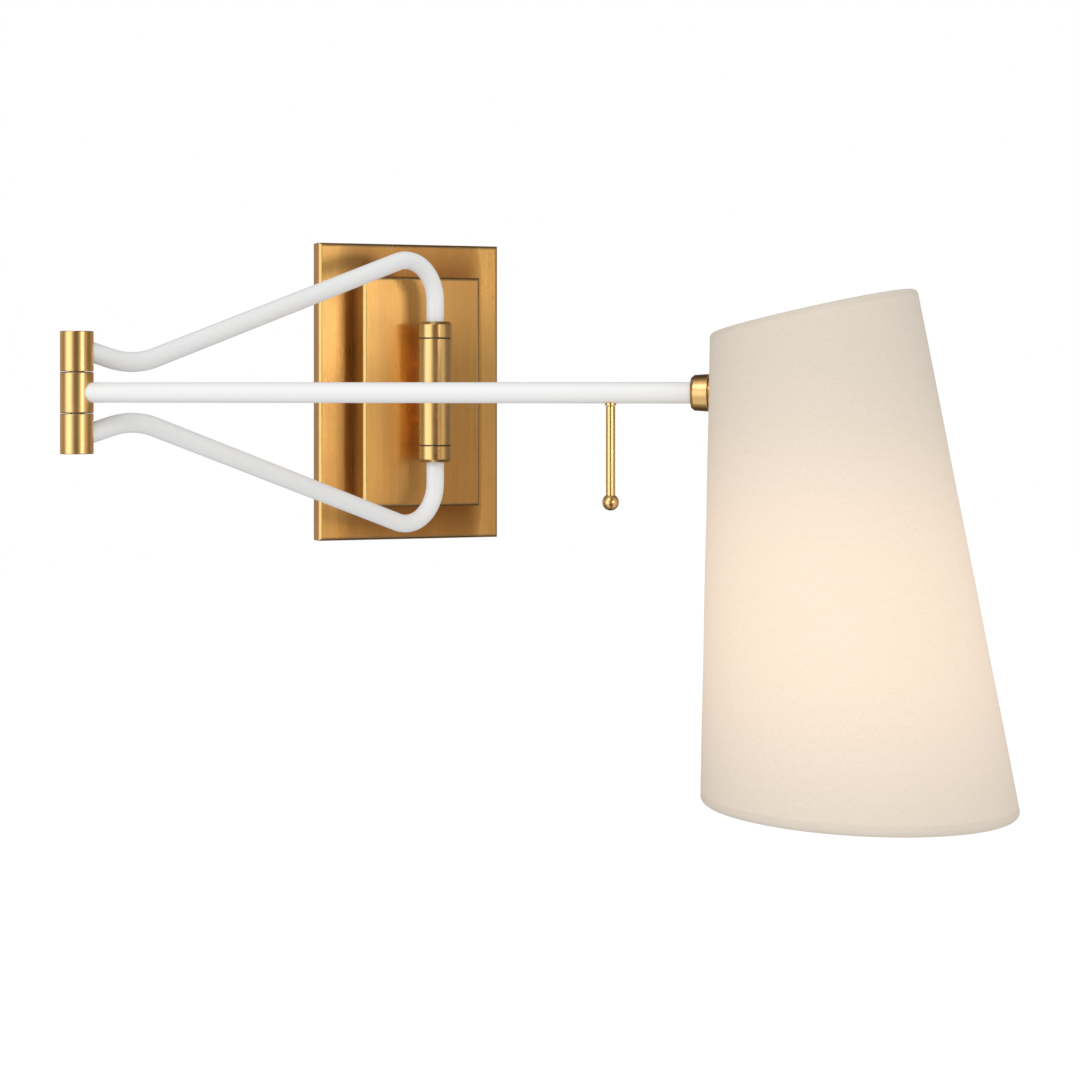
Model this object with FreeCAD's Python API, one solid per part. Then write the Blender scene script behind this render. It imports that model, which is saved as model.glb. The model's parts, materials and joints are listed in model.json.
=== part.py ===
import FreeCAD, Part
import math
import os

# Swing arm wall sconce: a stepped brass wall plate carries a vertical barrel on two stand-off
# posts.  A rear arm of two bent rods swings on the barrel, a straight front arm swings at the
# elbow, and a shade with its lamp holder tilts about the front arm's end.
# Millimetres.  Origin: centre of the bracket's slot pattern, on the wall face.
# +X is to the right when facing the wall, +Y goes into the wall, +Z is up.

VECTOR = FreeCAD.Vector
ORIGIN = VECTOR(0, 0, 0)
UP = VECTOR(0, 0, 1)
DOWN = VECTOR(0, 0, -1)
ALONG = VECTOR(1, 0, 0)
INTO_WALL = VECTOR(0, 1, 0)
OFF_WALL = VECTOR(0, -1, 0)

# Fits
SEAT_GAP = 0.05         # radial gap between pieces of one body that are screwed or brazed together
RUNNING_GAP = 0.04      # radial gap where one body turns on another
FACE_GAP = 0.3          # axial gap between faces of two bodies

# Wall plate and its bracket
PLATE_W = 120.65
PLATE_H = 190.5
PLATE_D = 13.5
PANEL_W = 77.5
PANEL_H = 146.0
PANEL_RISE = 27.5
SHEET = 1.5
EDGE_CHAMFER = 1.5
WIRE_WINDOW = 50.0
FLANGE_W = 9.0
FLANGE_T = 3.0
PANEL_SCREW_R = 2.0
PANEL_SCREW_HEAD_R = 3.6
PANEL_SCREW_HEAD_T = 2.2
PANEL_SCREW_SLOT_R = 0.77
STRAP_W = 26.0
STRAP_T = 1.6
STRAP_END_CLEARANCE = 0.4
EAR_LENGTH = 9.0
SLOT_SPACING = 80.0
SLOT_LENGTH = 22.0
SLOT_HALF_WIDTH = 2.4
STRAP_WIRE_HOLE_R = 11.0
GRUB_R = 2.0
GRUB_LENGTH = 6.0
GRUB_Y = -STRAP_T - EAR_LENGTH / 2
GROUND_SCREW_R = 2.0
GROUND_SCREW_FLATS = 7.0
GROUND_SCREW_HEAD_T = 3.0
GROUND_SCREW_AT = VECTOR(8.0, 0, 21.0)

# Barrel and the posts that hold it
BARREL_Y = -67.7
BARREL_R = 10.75
BARREL_BORE_R = 7.5
BARREL_HALF = 33.0
BUSH_R = 8.25
BUSH_LENGTH = 8.0
POST_SPACING = 35.0
POST_HEIGHTS = (-POST_SPACING / 2, POST_SPACING / 2)
POST_R = 2.5
POST_BORE_R = 1.2
POST_TAIL_R = 2.0
POST_TAIL = 8.0
POST_SPIGOT = 2.4
POST_NUT_FLATS = 7.0
POST_NUT_T = 3.2
POST_WASHER_R = 4.5
POST_WASHER_T = 0.8

# Rear arm: two mirrored rods between the barrel caps and the elbow knuckles
REAR_HEADING = 206.0    # degrees from +X, seen from above
REAR_LENGTH = 268.7
ROD_R = 5.5
ROD_BORE_R = 4.0
CAP_HEIGHT = 10.0
CAP_CHAMFER = 1.8
CAP_SOCKET = 4.6
THRUST_WASHER_T = 0.5
THRUST_WASHER_R = 9.9
PIVOT_R = 4.75
PIVOT_BORE_R = 3.4
PIVOT_SEAT = 3.6
SHOULDER_R = 24.5
SHOULDER_Z = 56.8
DIP_R = 52.0
DIP_AT = 232.5
DIP_Z = 16.8
ROD_END_RISE = 15.0     # degrees, how the rod climbs into its knuckle
ROD_END_FROM_AXIS = 5.6
SET_SCREW_R = 1.5
SET_SCREW_SINK = 0.2     # how far a set screw's driven end lies below the surface round it

# Elbow: three stacked knuckles on one hollow pin
KNUCKLE_R = 8.95
KNUCKLE_H = 21.8
KNUCKLE_CHAMFER = 0.25
KNUCKLE_END_WALL = 3.2
ELBOW_WASHER_T = 0.3
ELBOW_WASHER_R = 8.7
ELBOW_PIN_R = 3.8
ELBOW_PIN_BORE_R = 2.7
ELBOW_BUSH_R = 4.9
WIRE_HOLE_R = 2.2

# Front arm
FRONT_HEADING = -32.4   # degrees from +X
TUBE_R = 5.5
TUBE_BORE_R = 4.5
TUBE_START = 5.7
HUB_AT = 405.0

# Pull rod of the switch, hanging from the front arm
PULL_AT = 294.3
PULL_ROD_R = 2.4
PULL_STEM_R = 1.5
PULL_STEM_TOP = -1.2
PULL_BALL_Z = -56.5
PULL_BALL_R = 4.3
PULL_BALL_SEAT = 3.4    # how far above the ball's centre the rod's shoulder meets it
PULL_SPIGOT_R = 1.5
PULL_SPIGOT_REACH = 1.0
FERRULE_NECK_R = 2.3
FERRULE_STEP = 0.5
FERRULE_R = 2.95
FERRULE_BOTTOM = -6.6
SWITCH_LENGTH = 22.0
SWITCH_TOP = 0.2

# Swivel at the end of the front arm, and the hub that turns on it
SPINDLE_R = 4.0
SPINDLE_BORE_R = 2.8
SPINDLE_PLUG = 12.0
SPINDLE_FLANGE_T = 1.5
SPINDLE_PAST_NUT = 1.0
SWIVEL_WASHER_T = 0.8
SWIVEL_WASHER_R = 6.4
SPRING_WASHER_R = 6.0
SWIVEL_NUT_FLATS = 11.0
SWIVEL_NUT_T = 3.0
HUB_R = 13.0
HUB_WALL = 2.5
HUB_BOSS_R = 7.0
HUB_BOSS_REACH = 17.0
HUB_SEAT = 8.0          # from the hub's axis to the flat seat for the swivel's spring washer
HUB_BOTTOM = -12.0
HUB_TOP = 9.0
HUB_COVER_T = 3.0
HUB_COVER_REGISTER = 1.5 # how far the cover reaches down into the hub
HUB_COVER_CHAMFER = 0.6
STUD_R = 3.0
STUD_LENGTH = 7.0
SPIDER_NUT_R = 5.5
SPIDER_NUT_H = 8.0
SPIDER_NUT_CHAMFER = 2.0

# Lamp holder and lamp
NIPPLE_R = 4.8
NIPPLE_BORE_R = 3.2
NIPPLE_NUT_FLATS = 13.0
NIPPLE_NUT_T = 2.6
NIPPLE_BOTTOM = -23.0
SOCKET_R = 17.0
SOCKET_CAP_TOP_R = 10.0
SOCKET_CAP_BOTTOM = -27.0
SOCKET_CAP_T = 1.2
SOCKET_CAP_SKIRT = 3.0
SOCKET_BOTTOM = -63.0
SOCKET_SKIN = 0.8
SOCKET_BODY_R = 16.0
SOCKET_BODY_TOP = -24.0
SOCKET_BODY_CHAMFER = 1.5
SOCKET_CAVITY_R = 14.6
SOCKET_CAVITY_TOP = -31.0
SCREW_SHELL_R = 14.4
SCREW_SHELL_T = 0.5
SCREW_SHELL_TOP = -32.0
SCREW_SHELL_BOTTOM = -61.0
CONTACT_R = 5.0
CONTACT_TIP_R = 2.0
CONTACT_T = 1.0
CONTACT_REACH = 2.4
LAMP_BASE_R = 13.2
LAMP_BASE_TOP = -35.0
LAMP_BASE_BOTTOM = -59.0
LAMP_THREAD_TOP = -38.0
LAMP_THREAD_PITCH = 3.6
LAMP_THREAD_DEPTH = 0.6
LAMP_THREAD_TURNS = 5
LAMP_TIP_R = 4.0
LAMP_TIP_RISE = 1.2
LAMP_SHOULDER_R = 5.5
LAMP_SHOULDER_DROP = 1.5
LAMP_GLOBE_R = 29.0
LAMP_GLOBE_Z = -108.0
LAMP_NECK_R = 12.4
LAMP_NECK_LENGTH = 8.0
LAMP_FLARE_END = 32.0   # degrees above the globe's centre where the neck's flare meets it
LAMP_FLARE_HOLLOW = VECTOR(-1.2, 0, -0.6)
LAMP_GLASS_T = 1.0

# Shade: an oblique cone whose rims spread apart away from the arm; slants in degrees, upwards
SHADE_BOTTOM_AT = 421.8
SHADE_BOTTOM_Z = -208.5
SHADE_BOTTOM_R = 80.1
SHADE_BOTTOM_SLANT = -1.5
SHADE_TOP_AT = 398.7
SHADE_TOP_Z = 41.5
SHADE_TOP_R = 53.2
SHADE_TOP_SLANT = 11.9
FABRIC_T = 0.9
LINING_GAP = 0.4
LINING_T = 0.5
RING_WIRE_R = 1.3
RING_INSET = 2.4
PAST_RIMS = 0.02        # share of the shade's height by which the cutting cone passes each rim
SPIDER_ARMS = (60.0, 180.0, 300.0)
SPIDER_WASHER_R = 11.0
SPIDER_WASHER_T = 1.4

# Collar where the arm goes into the shade
COLLAR_START = 336.7
COLLAR_END = 345.5
COLLAR_R = 9.6
COLLAR_SHOULDER_R = 9.15
COLLAR_NOSE_R = 8.0
COLLAR_NOSE = 1.5
COLLAR_NECK_R = 7.0
COLLAR_NECK_END = 353.7
LOCK_RING_START = 349.7
LOCK_RING_T = 2.6
LOCK_RING_R = 10.0

SHADE_BOTTOM = VECTOR(SHADE_BOTTOM_AT, 0, SHADE_BOTTOM_Z)
SHADE_TOP = VECTOR(SHADE_TOP_AT, 0, SHADE_TOP_Z)
PANEL_FACE_Y = -(PLATE_D + PANEL_RISE)
BARREL_AXIS = VECTOR(0, BARREL_Y, 0)
BARREL_JOINT = THRUST_WASHER_T + FACE_GAP
CAP_BASE_Z = BARREL_HALF + BARREL_JOINT
CAP_TOP_Z = CAP_BASE_Z + CAP_HEIGHT
CAP_SCREW_Z = CAP_BASE_Z + PIVOT_SEAT / 2
ELBOW_JOINT = ELBOW_WASHER_T + FACE_GAP
PULL_ROD_TOP = FERRULE_BOTTOM - FACE_GAP
KNUCKLE_BASE_Z = KNUCKLE_H / 2 + ELBOW_JOINT
KNUCKLE_SCREW_Z = KNUCKLE_BASE_Z + KNUCKLE_H / 2
SPINDLE_FACE_AT = HUB_AT - HUB_BOSS_REACH - FACE_GAP - SWIVEL_WASHER_T
TUBE_END = SPINDLE_FACE_AT - SPINDLE_FLANGE_T
SWIVEL_SEAT_AT = HUB_AT - HUB_SEAT
SPIDER_BASE_Z = HUB_TOP + SEAT_GAP + HUB_COVER_T
ANY_LENGTH = 400.0      # longer than any piece that a half-space or hole has to cut


def heading_vector(degrees):
    """The level unit vector at an angle from +X."""
    return VECTOR(math.cos(math.radians(degrees)), math.sin(math.radians(degrees)), 0)


ELBOW_AXIS = BARREL_AXIS + heading_vector(REAR_HEADING) * REAR_LENGTH


def on_rear_arm(shape):
    """Carry a shape from the rear arm's own frame (X from barrel to elbow) to its place."""
    placed = shape.copy()
    placed.rotate(ORIGIN, UP, REAR_HEADING)
    placed.translate(BARREL_AXIS)
    return placed


def on_front_arm(shape):
    """Carry a shape from the front arm's own frame (X from elbow to shade) to its place."""
    placed = shape.copy()
    placed.rotate(ORIGIN, UP, FRONT_HEADING)
    placed.translate(ELBOW_AXIS)
    return placed


def at_elbow(shape):
    """Carry a shape from the rear arm's frame, drawn about the elbow, to its place."""
    placed = shape.copy()
    placed.translate(ALONG * REAR_LENGTH)
    return on_rear_arm(placed)


def at_barrel(shape):
    """Carry a shape drawn about Z to the barrel's axis."""
    placed = shape.copy()
    placed.translate(BARREL_AXIS)
    return placed


def at_hub(shape):
    """Carry a shape drawn about Z to the hub's axis on the front arm."""
    placed = shape.copy()
    placed.translate(ALONG * HUB_AT)
    return on_front_arm(placed)


def at_pull(shape):
    """Carry a shape drawn about Z to the pull rod's axis on the front arm."""
    placed = shape.copy()
    placed.translate(ALONG * PULL_AT)
    return on_front_arm(placed)


def upside_down(shape):
    """The mirror image of a shape below the level plane of the arms."""
    return shape.mirror(ORIGIN, UP)


def box(width, depth, height, centre):
    """A box of the given X, Y and Z sizes about a centre."""
    low = centre - VECTOR(width, depth, height) * 0.5
    return Part.makeBox(width, depth, height, low)


def rod(radius, start, end):
    """A round rod between two points."""
    reach = end - start
    return Part.makeCylinder(radius, reach.Length, start, reach)


def pipe(outer_r, inner_r, start, end):
    """A straight round tube between two points."""
    return rod(outer_r, start, end).cut(rod(inner_r, start, end))


def turned(profile):
    """A solid of revolution about Z from (radius, height) corners."""
    corners = [VECTOR(radius, 0, height) for radius, height in profile]
    outline = Part.makePolygon(corners + corners[:1])
    return Part.Face(outline).revolve(ORIGIN, UP, 360)


def ring(outer_r, inner_r, low_z, high_z):
    """A flat ring or a tube about Z."""
    return turned([(inner_r, low_z), (outer_r, low_z), (outer_r, high_z), (inner_r, high_z)])


def hexagon(flats, low, axis, height):
    """A hexagonal prism standing on a point, along an axis."""
    corner_r = flats / math.sqrt(3)
    corners = [heading_vector(60 * side) * corner_r for side in range(7)]
    prism = Part.Face(Part.makePolygon(corners)).extrude(UP * height)
    prism.Placement = FreeCAD.Placement(low, FreeCAD.Rotation(UP, axis))
    return prism


def nut(flats, bore_r, low, axis, height):
    """A hexagon nut."""
    return hexagon(flats, low, axis, height).cut(Part.makeCylinder(bore_r, height, low, axis))


def socket_screw(radius, start, end):
    """A headless screw from its driven end to its point, with a hexagon recess."""
    axis = end - start
    recess = hexagon(radius, start, axis, radius)
    return rod(radius, start, end).cut(recess)


def pan_head_screw(shank_r, head_r, head_t, seat, axis, shank):
    """A screw with a round head behind its seat and a slot across it, pointing along the axis."""
    head_top = seat - axis * head_t
    screw = rod(shank_r, seat, seat + axis * shank).fuse(rod(head_r, head_top, seat))
    return screw.cut(rod(PANEL_SCREW_SLOT_R, head_top - UP * head_r * 2, head_top + UP * head_r * 2))


def bevelled_box_shell(width, height, front_y, back_y):
    """A sheet-metal tray open towards the wall, with bevelled front edges."""
    depth = back_y - front_y
    middle = VECTOR(0, (front_y + back_y) / 2, 0)
    block = box(width, depth, height, middle)
    front_edges = [edge for edge in block.Edges if abs(edge.CenterOfMass.y - front_y) < 0.01]
    block = block.makeChamfer(EDGE_CHAMFER, front_edges)
    hollow_depth = depth - SHEET
    hollow_middle = VECTOR(0, back_y - hollow_depth / 2, 0)
    hollow = box(width - 2 * SHEET, hollow_depth, height - 2 * SHEET, hollow_middle)
    return block.cut(hollow)


def panel_screw_places():
    """Where the four screws hold the raised panel's flange, as X and Z."""
    inset = SHEET + FLANGE_W / 2
    half_w = PANEL_W / 2 - inset
    half_h = PANEL_H / 2 - inset
    return [(x, z) for x in (-half_w, half_w) for z in (-half_h, half_h)]


def grub_screw_hole():
    """The upright hole for both grub screws, as the solid to cut away."""
    return rod(GRUB_R + SEAT_GAP, VECTOR(0, GRUB_Y, -PLATE_H), VECTOR(0, GRUB_Y, PLATE_H))


def backplate():
    """Lower tray of the wall plate, with a window behind the raised panel."""
    plate = bevelled_box_shell(PLATE_W, PLATE_H, -PLATE_D, 0)
    plate = plate.cut(box(WIRE_WINDOW, 3 * PLATE_D, WIRE_WINDOW, VECTOR(0, -PLATE_D, 0)))
    for x, z in panel_screw_places():
        plate = plate.cut(rod(PANEL_SCREW_R + SEAT_GAP, VECTOR(x, 0, z), VECTOR(x, -PLATE_D * 2, z)))
    return plate.cut(grub_screw_hole())


def raised_panel():
    """Upper tray, with an inward flange that the backplate's screws grip."""
    panel = bevelled_box_shell(PANEL_W, PANEL_H, PANEL_FACE_Y, -PLATE_D)
    inner_w = PANEL_W - 2 * SHEET
    inner_h = PANEL_H - 2 * SHEET
    flange_middle = VECTOR(0, -PLATE_D - FLANGE_T / 2, 0)
    flange = box(inner_w, FLANGE_T, inner_h, flange_middle)
    flange = flange.cut(box(inner_w - 2 * FLANGE_W, FLANGE_T, inner_h - 2 * FLANGE_W, flange_middle))
    panel = panel.fuse(flange)
    for x, z in panel_screw_places():
        flange_back = VECTOR(x, -PLATE_D - FLANGE_T, z)
        panel = panel.cut(rod(PANEL_SCREW_R + SEAT_GAP, VECTOR(x, 0, z), flange_back))
    for z in POST_HEIGHTS:
        panel = panel.cut(rod(POST_TAIL_R + SEAT_GAP, VECTOR(0, -PLATE_D, z), VECTOR(0, BARREL_Y, z)))
    return panel.removeSplitter()


def panel_screws():
    """Four screws from behind the backplate into the panel's flange."""
    seat_y = -PLATE_D + SHEET
    shank = SHEET + FLANGE_T
    screws = []
    for x, z in panel_screw_places():
        seat = VECTOR(x, seat_y, z)
        screws.append(pan_head_screw(
            PANEL_SCREW_R, PANEL_SCREW_HEAD_R, PANEL_SCREW_HEAD_T, seat, OFF_WALL, shank))
    return Part.makeCompound(screws)


def mounting_slot(z):
    """One upright slot of the bracket, as the solid to cut away."""
    straight = SLOT_LENGTH / 2 - SLOT_HALF_WIDTH
    slot = box(2 * SLOT_HALF_WIDTH, 4 * STRAP_T, 2 * straight, VECTOR(0, 0, z))
    for end in (z - straight, z + straight):
        start = VECTOR(0, -2 * STRAP_T, end)
        slot = slot.fuse(Part.makeCylinder(SLOT_HALF_WIDTH, 4 * STRAP_T, start, INTO_WALL))
    return slot


def mounting_bracket():
    """Upright steel strap for the junction box, with an ear at each end for the grub screws."""
    strap_h = PLATE_H - 2 * SHEET - 2 * STRAP_END_CLEARANCE
    strap = box(STRAP_W, STRAP_T, strap_h, VECTOR(0, -STRAP_T / 2, 0))
    for end in (-1, 1):
        ear_middle = VECTOR(0, GRUB_Y, end * (strap_h - STRAP_T) / 2)
        strap = strap.fuse(box(STRAP_W, EAR_LENGTH, STRAP_T, ear_middle))
        strap = strap.cut(mounting_slot(end * SLOT_SPACING / 2))
    strap = strap.cut(rod(STRAP_WIRE_HOLE_R, VECTOR(0, -2 * STRAP_T, 0), VECTOR(0, STRAP_T, 0)))
    strap = strap.cut(grub_screw_hole())
    ground_hole = Part.makeCylinder(
        GROUND_SCREW_R + SEAT_GAP, 3 * STRAP_T, GROUND_SCREW_AT + OFF_WALL * 2 * STRAP_T, INTO_WALL)
    return strap.cut(ground_hole).removeSplitter()


def plate_grub_screws():
    """Two headless screws that hold the backplate on the bracket's ears."""
    screws = []
    for side in (-1, 1):
        outer = VECTOR(0, GRUB_Y, side * (PLATE_H / 2 - SEAT_GAP))
        screws.append(socket_screw(GRUB_R, outer, outer - UP * side * GRUB_LENGTH))
    return Part.makeCompound(screws)


def ground_screw():
    """Hexagon-headed earthing screw on the bracket."""
    head_low = GROUND_SCREW_AT + OFF_WALL * STRAP_T
    head = hexagon(GROUND_SCREW_FLATS, head_low, OFF_WALL, GROUND_SCREW_HEAD_T)
    return head.fuse(rod(GROUND_SCREW_R, head_low, GROUND_SCREW_AT))


def stand_off(z):
    """Hollow post from the panel to the barrel, with a threaded tail behind the panel."""
    tail_end = PANEL_FACE_Y + SHEET + POST_TAIL
    spigot_end = BARREL_Y + BARREL_R - POST_SPIGOT
    barrel_outside = at_barrel(rod(BARREL_R + SEAT_GAP, DOWN * BARREL_HALF, UP * BARREL_HALF))
    post = rod(POST_R, VECTOR(0, PANEL_FACE_Y - SEAT_GAP, z), VECTOR(0, BARREL_Y, z)).cut(barrel_outside)
    post = post.fuse(rod(POST_TAIL_R, VECTOR(0, tail_end, z), VECTOR(0, spigot_end, z)))
    return post.cut(rod(POST_BORE_R, VECTOR(0, tail_end, z), VECTOR(0, spigot_end, z)))


def post_washers():
    """One washer behind the panel on each post."""
    back = PANEL_FACE_Y + SHEET
    washers = []
    for z in POST_HEIGHTS:
        start = VECTOR(0, back + SEAT_GAP, z)
        end = start + INTO_WALL * POST_WASHER_T
        washers.append(pipe(POST_WASHER_R, POST_TAIL_R + SEAT_GAP, start, end))
    return Part.makeCompound(washers)


def post_nuts():
    """One nut behind the panel on each post."""
    back = PANEL_FACE_Y + SHEET + POST_WASHER_T + 2 * SEAT_GAP
    nuts = []
    for z in POST_HEIGHTS:
        nuts.append(nut(POST_NUT_FLATS, POST_TAIL_R + SEAT_GAP, VECTOR(0, back, z), INTO_WALL, POST_NUT_T))
    return Part.makeCompound(nuts)


def barrel():
    """Fixed barrel: a tube with a seat for a bush at each end and two holes for the posts."""
    seat_z = BARREL_HALF - BUSH_LENGTH
    seat_r = BUSH_R + SEAT_GAP
    shape = turned([
        (BARREL_BORE_R, -seat_z), (seat_r, -seat_z), (seat_r, -BARREL_HALF), (BARREL_R, -BARREL_HALF),
        (BARREL_R, BARREL_HALF), (seat_r, BARREL_HALF), (seat_r, seat_z), (BARREL_BORE_R, seat_z)])
    for z in POST_HEIGHTS:
        shape = shape.cut(rod(POST_TAIL_R + SEAT_GAP, VECTOR(0, 0, z), VECTOR(0, 2 * BARREL_R, z)))
    return at_barrel(shape)


def upper_barrel_bush():
    """Bearing bush in the top of the barrel."""
    shape = ring(BUSH_R, PIVOT_R + RUNNING_GAP, BARREL_HALF - BUSH_LENGTH + SEAT_GAP, BARREL_HALF)
    return at_barrel(shape)


def upper_thrust_washer():
    """Dark washer that the arm's upper cap rides on."""
    shape = ring(THRUST_WASHER_R, PIVOT_R + RUNNING_GAP, BARREL_HALF, BARREL_HALF + THRUST_WASHER_T)
    return at_barrel(shape)


def rod_path():
    """Centre line of the upper rear rod in the rear arm's own frame, and its direction at the end."""
    shoulder = VECTOR(SHOULDER_R, 0, SHOULDER_Z)
    dip = VECTOR(DIP_AT, 0, DIP_Z + DIP_R)
    between = dip - shoulder
    # The straight part is the crossed tangent of the shoulder's circle and the dip's circle.
    fall = math.asin((SHOULDER_R + DIP_R) / between.Length) - math.atan2(between.z, between.x)
    normal = VECTOR(math.sin(fall), 0, math.cos(fall))
    shoulder_end = shoulder + normal * SHOULDER_R
    dip_start = dip - normal * DIP_R
    rise = math.radians(ROD_END_RISE)
    dip_end = dip + VECTOR(math.sin(rise), 0, -math.cos(rise)) * DIP_R
    end_direction = VECTOR(math.cos(rise), 0, math.sin(rise))
    reach = (REAR_LENGTH - ROD_END_FROM_AXIS - dip_end.x) / end_direction.x
    start = VECTOR(0, 0, CAP_TOP_Z - CAP_SOCKET + SEAT_GAP)
    shoulder_start = VECTOR(0, 0, SHOULDER_Z)
    half_turn = (math.pi / 2 + fall) / 2
    shoulder_middle = shoulder + VECTOR(-math.cos(half_turn), 0, math.sin(half_turn)) * SHOULDER_R
    dip_bottom = dip - UP * DIP_R
    edges = [
        Part.LineSegment(start, shoulder_start).toShape(),
        Part.Arc(shoulder_start, shoulder_middle, shoulder_end).toShape(),
        Part.LineSegment(shoulder_end, dip_start).toShape(),
        Part.Arc(dip_start, dip_bottom, dip_end).toShape(),
        Part.LineSegment(dip_end, dip_end + end_direction * reach).toShape(),
    ]
    return Part.Wire(edges), start, dip_end + end_direction * reach, end_direction


def swept_rod(radius):
    """A solid of one radius along the upper rear rod's centre line."""
    path, start, _, _ = rod_path()
    circle = Part.Wire(Part.makeCircle(radius, start, UP))
    return path.makePipeShell([circle], True, False)


def upper_arm_rod():
    """Bent hollow rod from the barrel's upper cap to the upper knuckle."""
    return on_rear_arm(swept_rod(ROD_R).cut(swept_rod(ROD_BORE_R)))


def lower_arm_rod():
    """Mirror image of the upper rod."""
    return on_rear_arm(upside_down(swept_rod(ROD_R).cut(swept_rod(ROD_BORE_R))))


def set_screw_hole(z):
    """A level hole from the axis towards -Y at a height, as the solid to cut away."""
    return rod(SET_SCREW_R + SEAT_GAP, VECTOR(0, 0, z), VECTOR(0, -2 * BARREL_R, z))


def set_screw_pair(outside_r, shaft_r, z):
    """A set screw from a round piece's outside to the shaft in it, and its mirror image below."""
    outer = VECTOR(0, -outside_r + SET_SCREW_SINK, z)
    inner = VECTOR(0, -shaft_r - SEAT_GAP, z)
    upper = socket_screw(SET_SCREW_R, outer, inner)
    return Part.makeCompound([upper, upside_down(upper)])


def cap_shape():
    """Upper barrel cap: a socket for the rod above, a seat for the pivot tube below."""
    rod_seat_r = ROD_R + SEAT_GAP
    pivot_seat_r = PIVOT_R + SEAT_GAP
    socket_z = CAP_TOP_Z - CAP_SOCKET
    pivot_z = CAP_BASE_Z + PIVOT_SEAT
    cap = turned([
        (PIVOT_BORE_R, pivot_z), (pivot_seat_r, pivot_z), (pivot_seat_r, CAP_BASE_Z),
        (BARREL_R, CAP_BASE_Z), (BARREL_R, CAP_TOP_Z - CAP_CHAMFER),
        (BARREL_R - CAP_CHAMFER, CAP_TOP_Z), (rod_seat_r, CAP_TOP_Z), (rod_seat_r, socket_z),
        (PIVOT_BORE_R, socket_z)])
    return cap.cut(set_screw_hole(CAP_SCREW_Z))


def barrel_pivot_tube():
    """Hollow shaft through the barrel that joins both caps, with a window for the wires."""
    half = CAP_BASE_Z + PIVOT_SEAT - SEAT_GAP
    shaft = ring(PIVOT_R, PIVOT_BORE_R, -half, half)
    window = box(2 * PIVOT_R, 2 * PIVOT_BORE_R, POST_SPACING, VECTOR(0, -PIVOT_R, 0))
    return on_rear_arm(shaft.cut(window))


def cap_set_screws():
    """One set screw in each cap, on the side towards the wall."""
    return on_rear_arm(set_screw_pair(BARREL_R, PIVOT_R, CAP_SCREW_Z))


def knuckle_blank(low_z, high_z, bore_r, bore_top_z):
    """A turned knuckle with a bore that may stop short of its top."""
    side_r = KNUCKLE_R - KNUCKLE_CHAMFER
    if bore_top_z >= high_z:
        inner = [(bore_r, high_z), (bore_r, low_z)]
    else:
        inner = [(0, high_z), (0, bore_top_z), (bore_r, bore_top_z), (bore_r, low_z)]
    return turned(inner + [
        (side_r, low_z), (KNUCKLE_R, low_z + KNUCKLE_CHAMFER),
        (KNUCKLE_R, high_z - KNUCKLE_CHAMFER), (side_r, high_z)])


def upper_knuckle_shape():
    """Upper elbow knuckle about the elbow axis, with the socket for its rod."""
    top_z = KNUCKLE_BASE_Z + KNUCKLE_H
    knuckle = knuckle_blank(KNUCKLE_BASE_Z, top_z, ELBOW_PIN_R + SEAT_GAP, top_z - KNUCKLE_END_WALL)
    _, _, end, direction = rod_path()
    end = end - ALONG * REAR_LENGTH
    seat = end + direction * SEAT_GAP
    knuckle = knuckle.cut(rod(ROD_R + SEAT_GAP, seat, seat - direction * 3 * ROD_R))
    knuckle = knuckle.cut(rod(WIRE_HOLE_R, seat - direction, VECTOR(0, 0, seat.z)))
    return knuckle.cut(set_screw_hole(KNUCKLE_SCREW_Z))


def elbow_pivot_tube():
    """Hollow elbow pin, fixed in the outer knuckles, with windows for the wires."""
    half = KNUCKLE_BASE_Z + KNUCKLE_H - KNUCKLE_END_WALL - SEAT_GAP
    pin = ring(ELBOW_PIN_R, ELBOW_PIN_BORE_R, -half, half)
    _, _, end, _ = rod_path()
    for z in (-end.z, end.z):
        pin = pin.cut(rod(WIRE_HOLE_R, VECTOR(0, 0, z), VECTOR(-2 * ELBOW_PIN_R, 0, z)))
    window = box(2 * ELBOW_PIN_R, 2 * ELBOW_PIN_R, 2 * WIRE_HOLE_R, VECTOR(0, ELBOW_PIN_R, 0))
    return at_elbow(pin.cut(window))


def elbow_set_screws():
    """One set screw in each outer knuckle, on the side towards the wall."""
    return at_elbow(set_screw_pair(KNUCKLE_R, ELBOW_PIN_R, KNUCKLE_SCREW_Z))


def middle_knuckle():
    """Elbow knuckle of the front arm, with the socket for the tube."""
    half = KNUCKLE_H / 2
    knuckle = knuckle_blank(-half, half, ELBOW_BUSH_R + SEAT_GAP, half)
    socket_start = VECTOR(TUBE_START - SEAT_GAP, 0, 0)
    return on_front_arm(knuckle.cut(rod(TUBE_R + SEAT_GAP, socket_start, VECTOR(2 * KNUCKLE_R, 0, 0))))


def elbow_bush():
    """Bearing bush inside the middle knuckle, with a hole for the wires."""
    half = KNUCKLE_H / 2
    bush = ring(ELBOW_BUSH_R, ELBOW_PIN_R + RUNNING_GAP, -half, half)
    return on_front_arm(bush.cut(rod(WIRE_HOLE_R, ORIGIN, VECTOR(2 * ELBOW_BUSH_R, 0, 0))))


def upper_elbow_washer():
    """Friction washer between the middle and the upper knuckle."""
    base = KNUCKLE_H / 2
    return on_front_arm(ring(ELBOW_WASHER_R, ELBOW_PIN_R + RUNNING_GAP, base, base + ELBOW_WASHER_T))


def front_arm_tube():
    """Straight tube from the middle knuckle to the swivel inside the shade."""
    tube = pipe(TUBE_R, TUBE_BORE_R, VECTOR(TUBE_START, 0, 0), VECTOR(TUBE_END, 0, 0))
    neck_hole = rod(FERRULE_NECK_R + SEAT_GAP, VECTOR(PULL_AT, 0, 0), VECTOR(PULL_AT, 0, -2 * TUBE_R))
    return on_front_arm(tube.cut(neck_hole))


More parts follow.
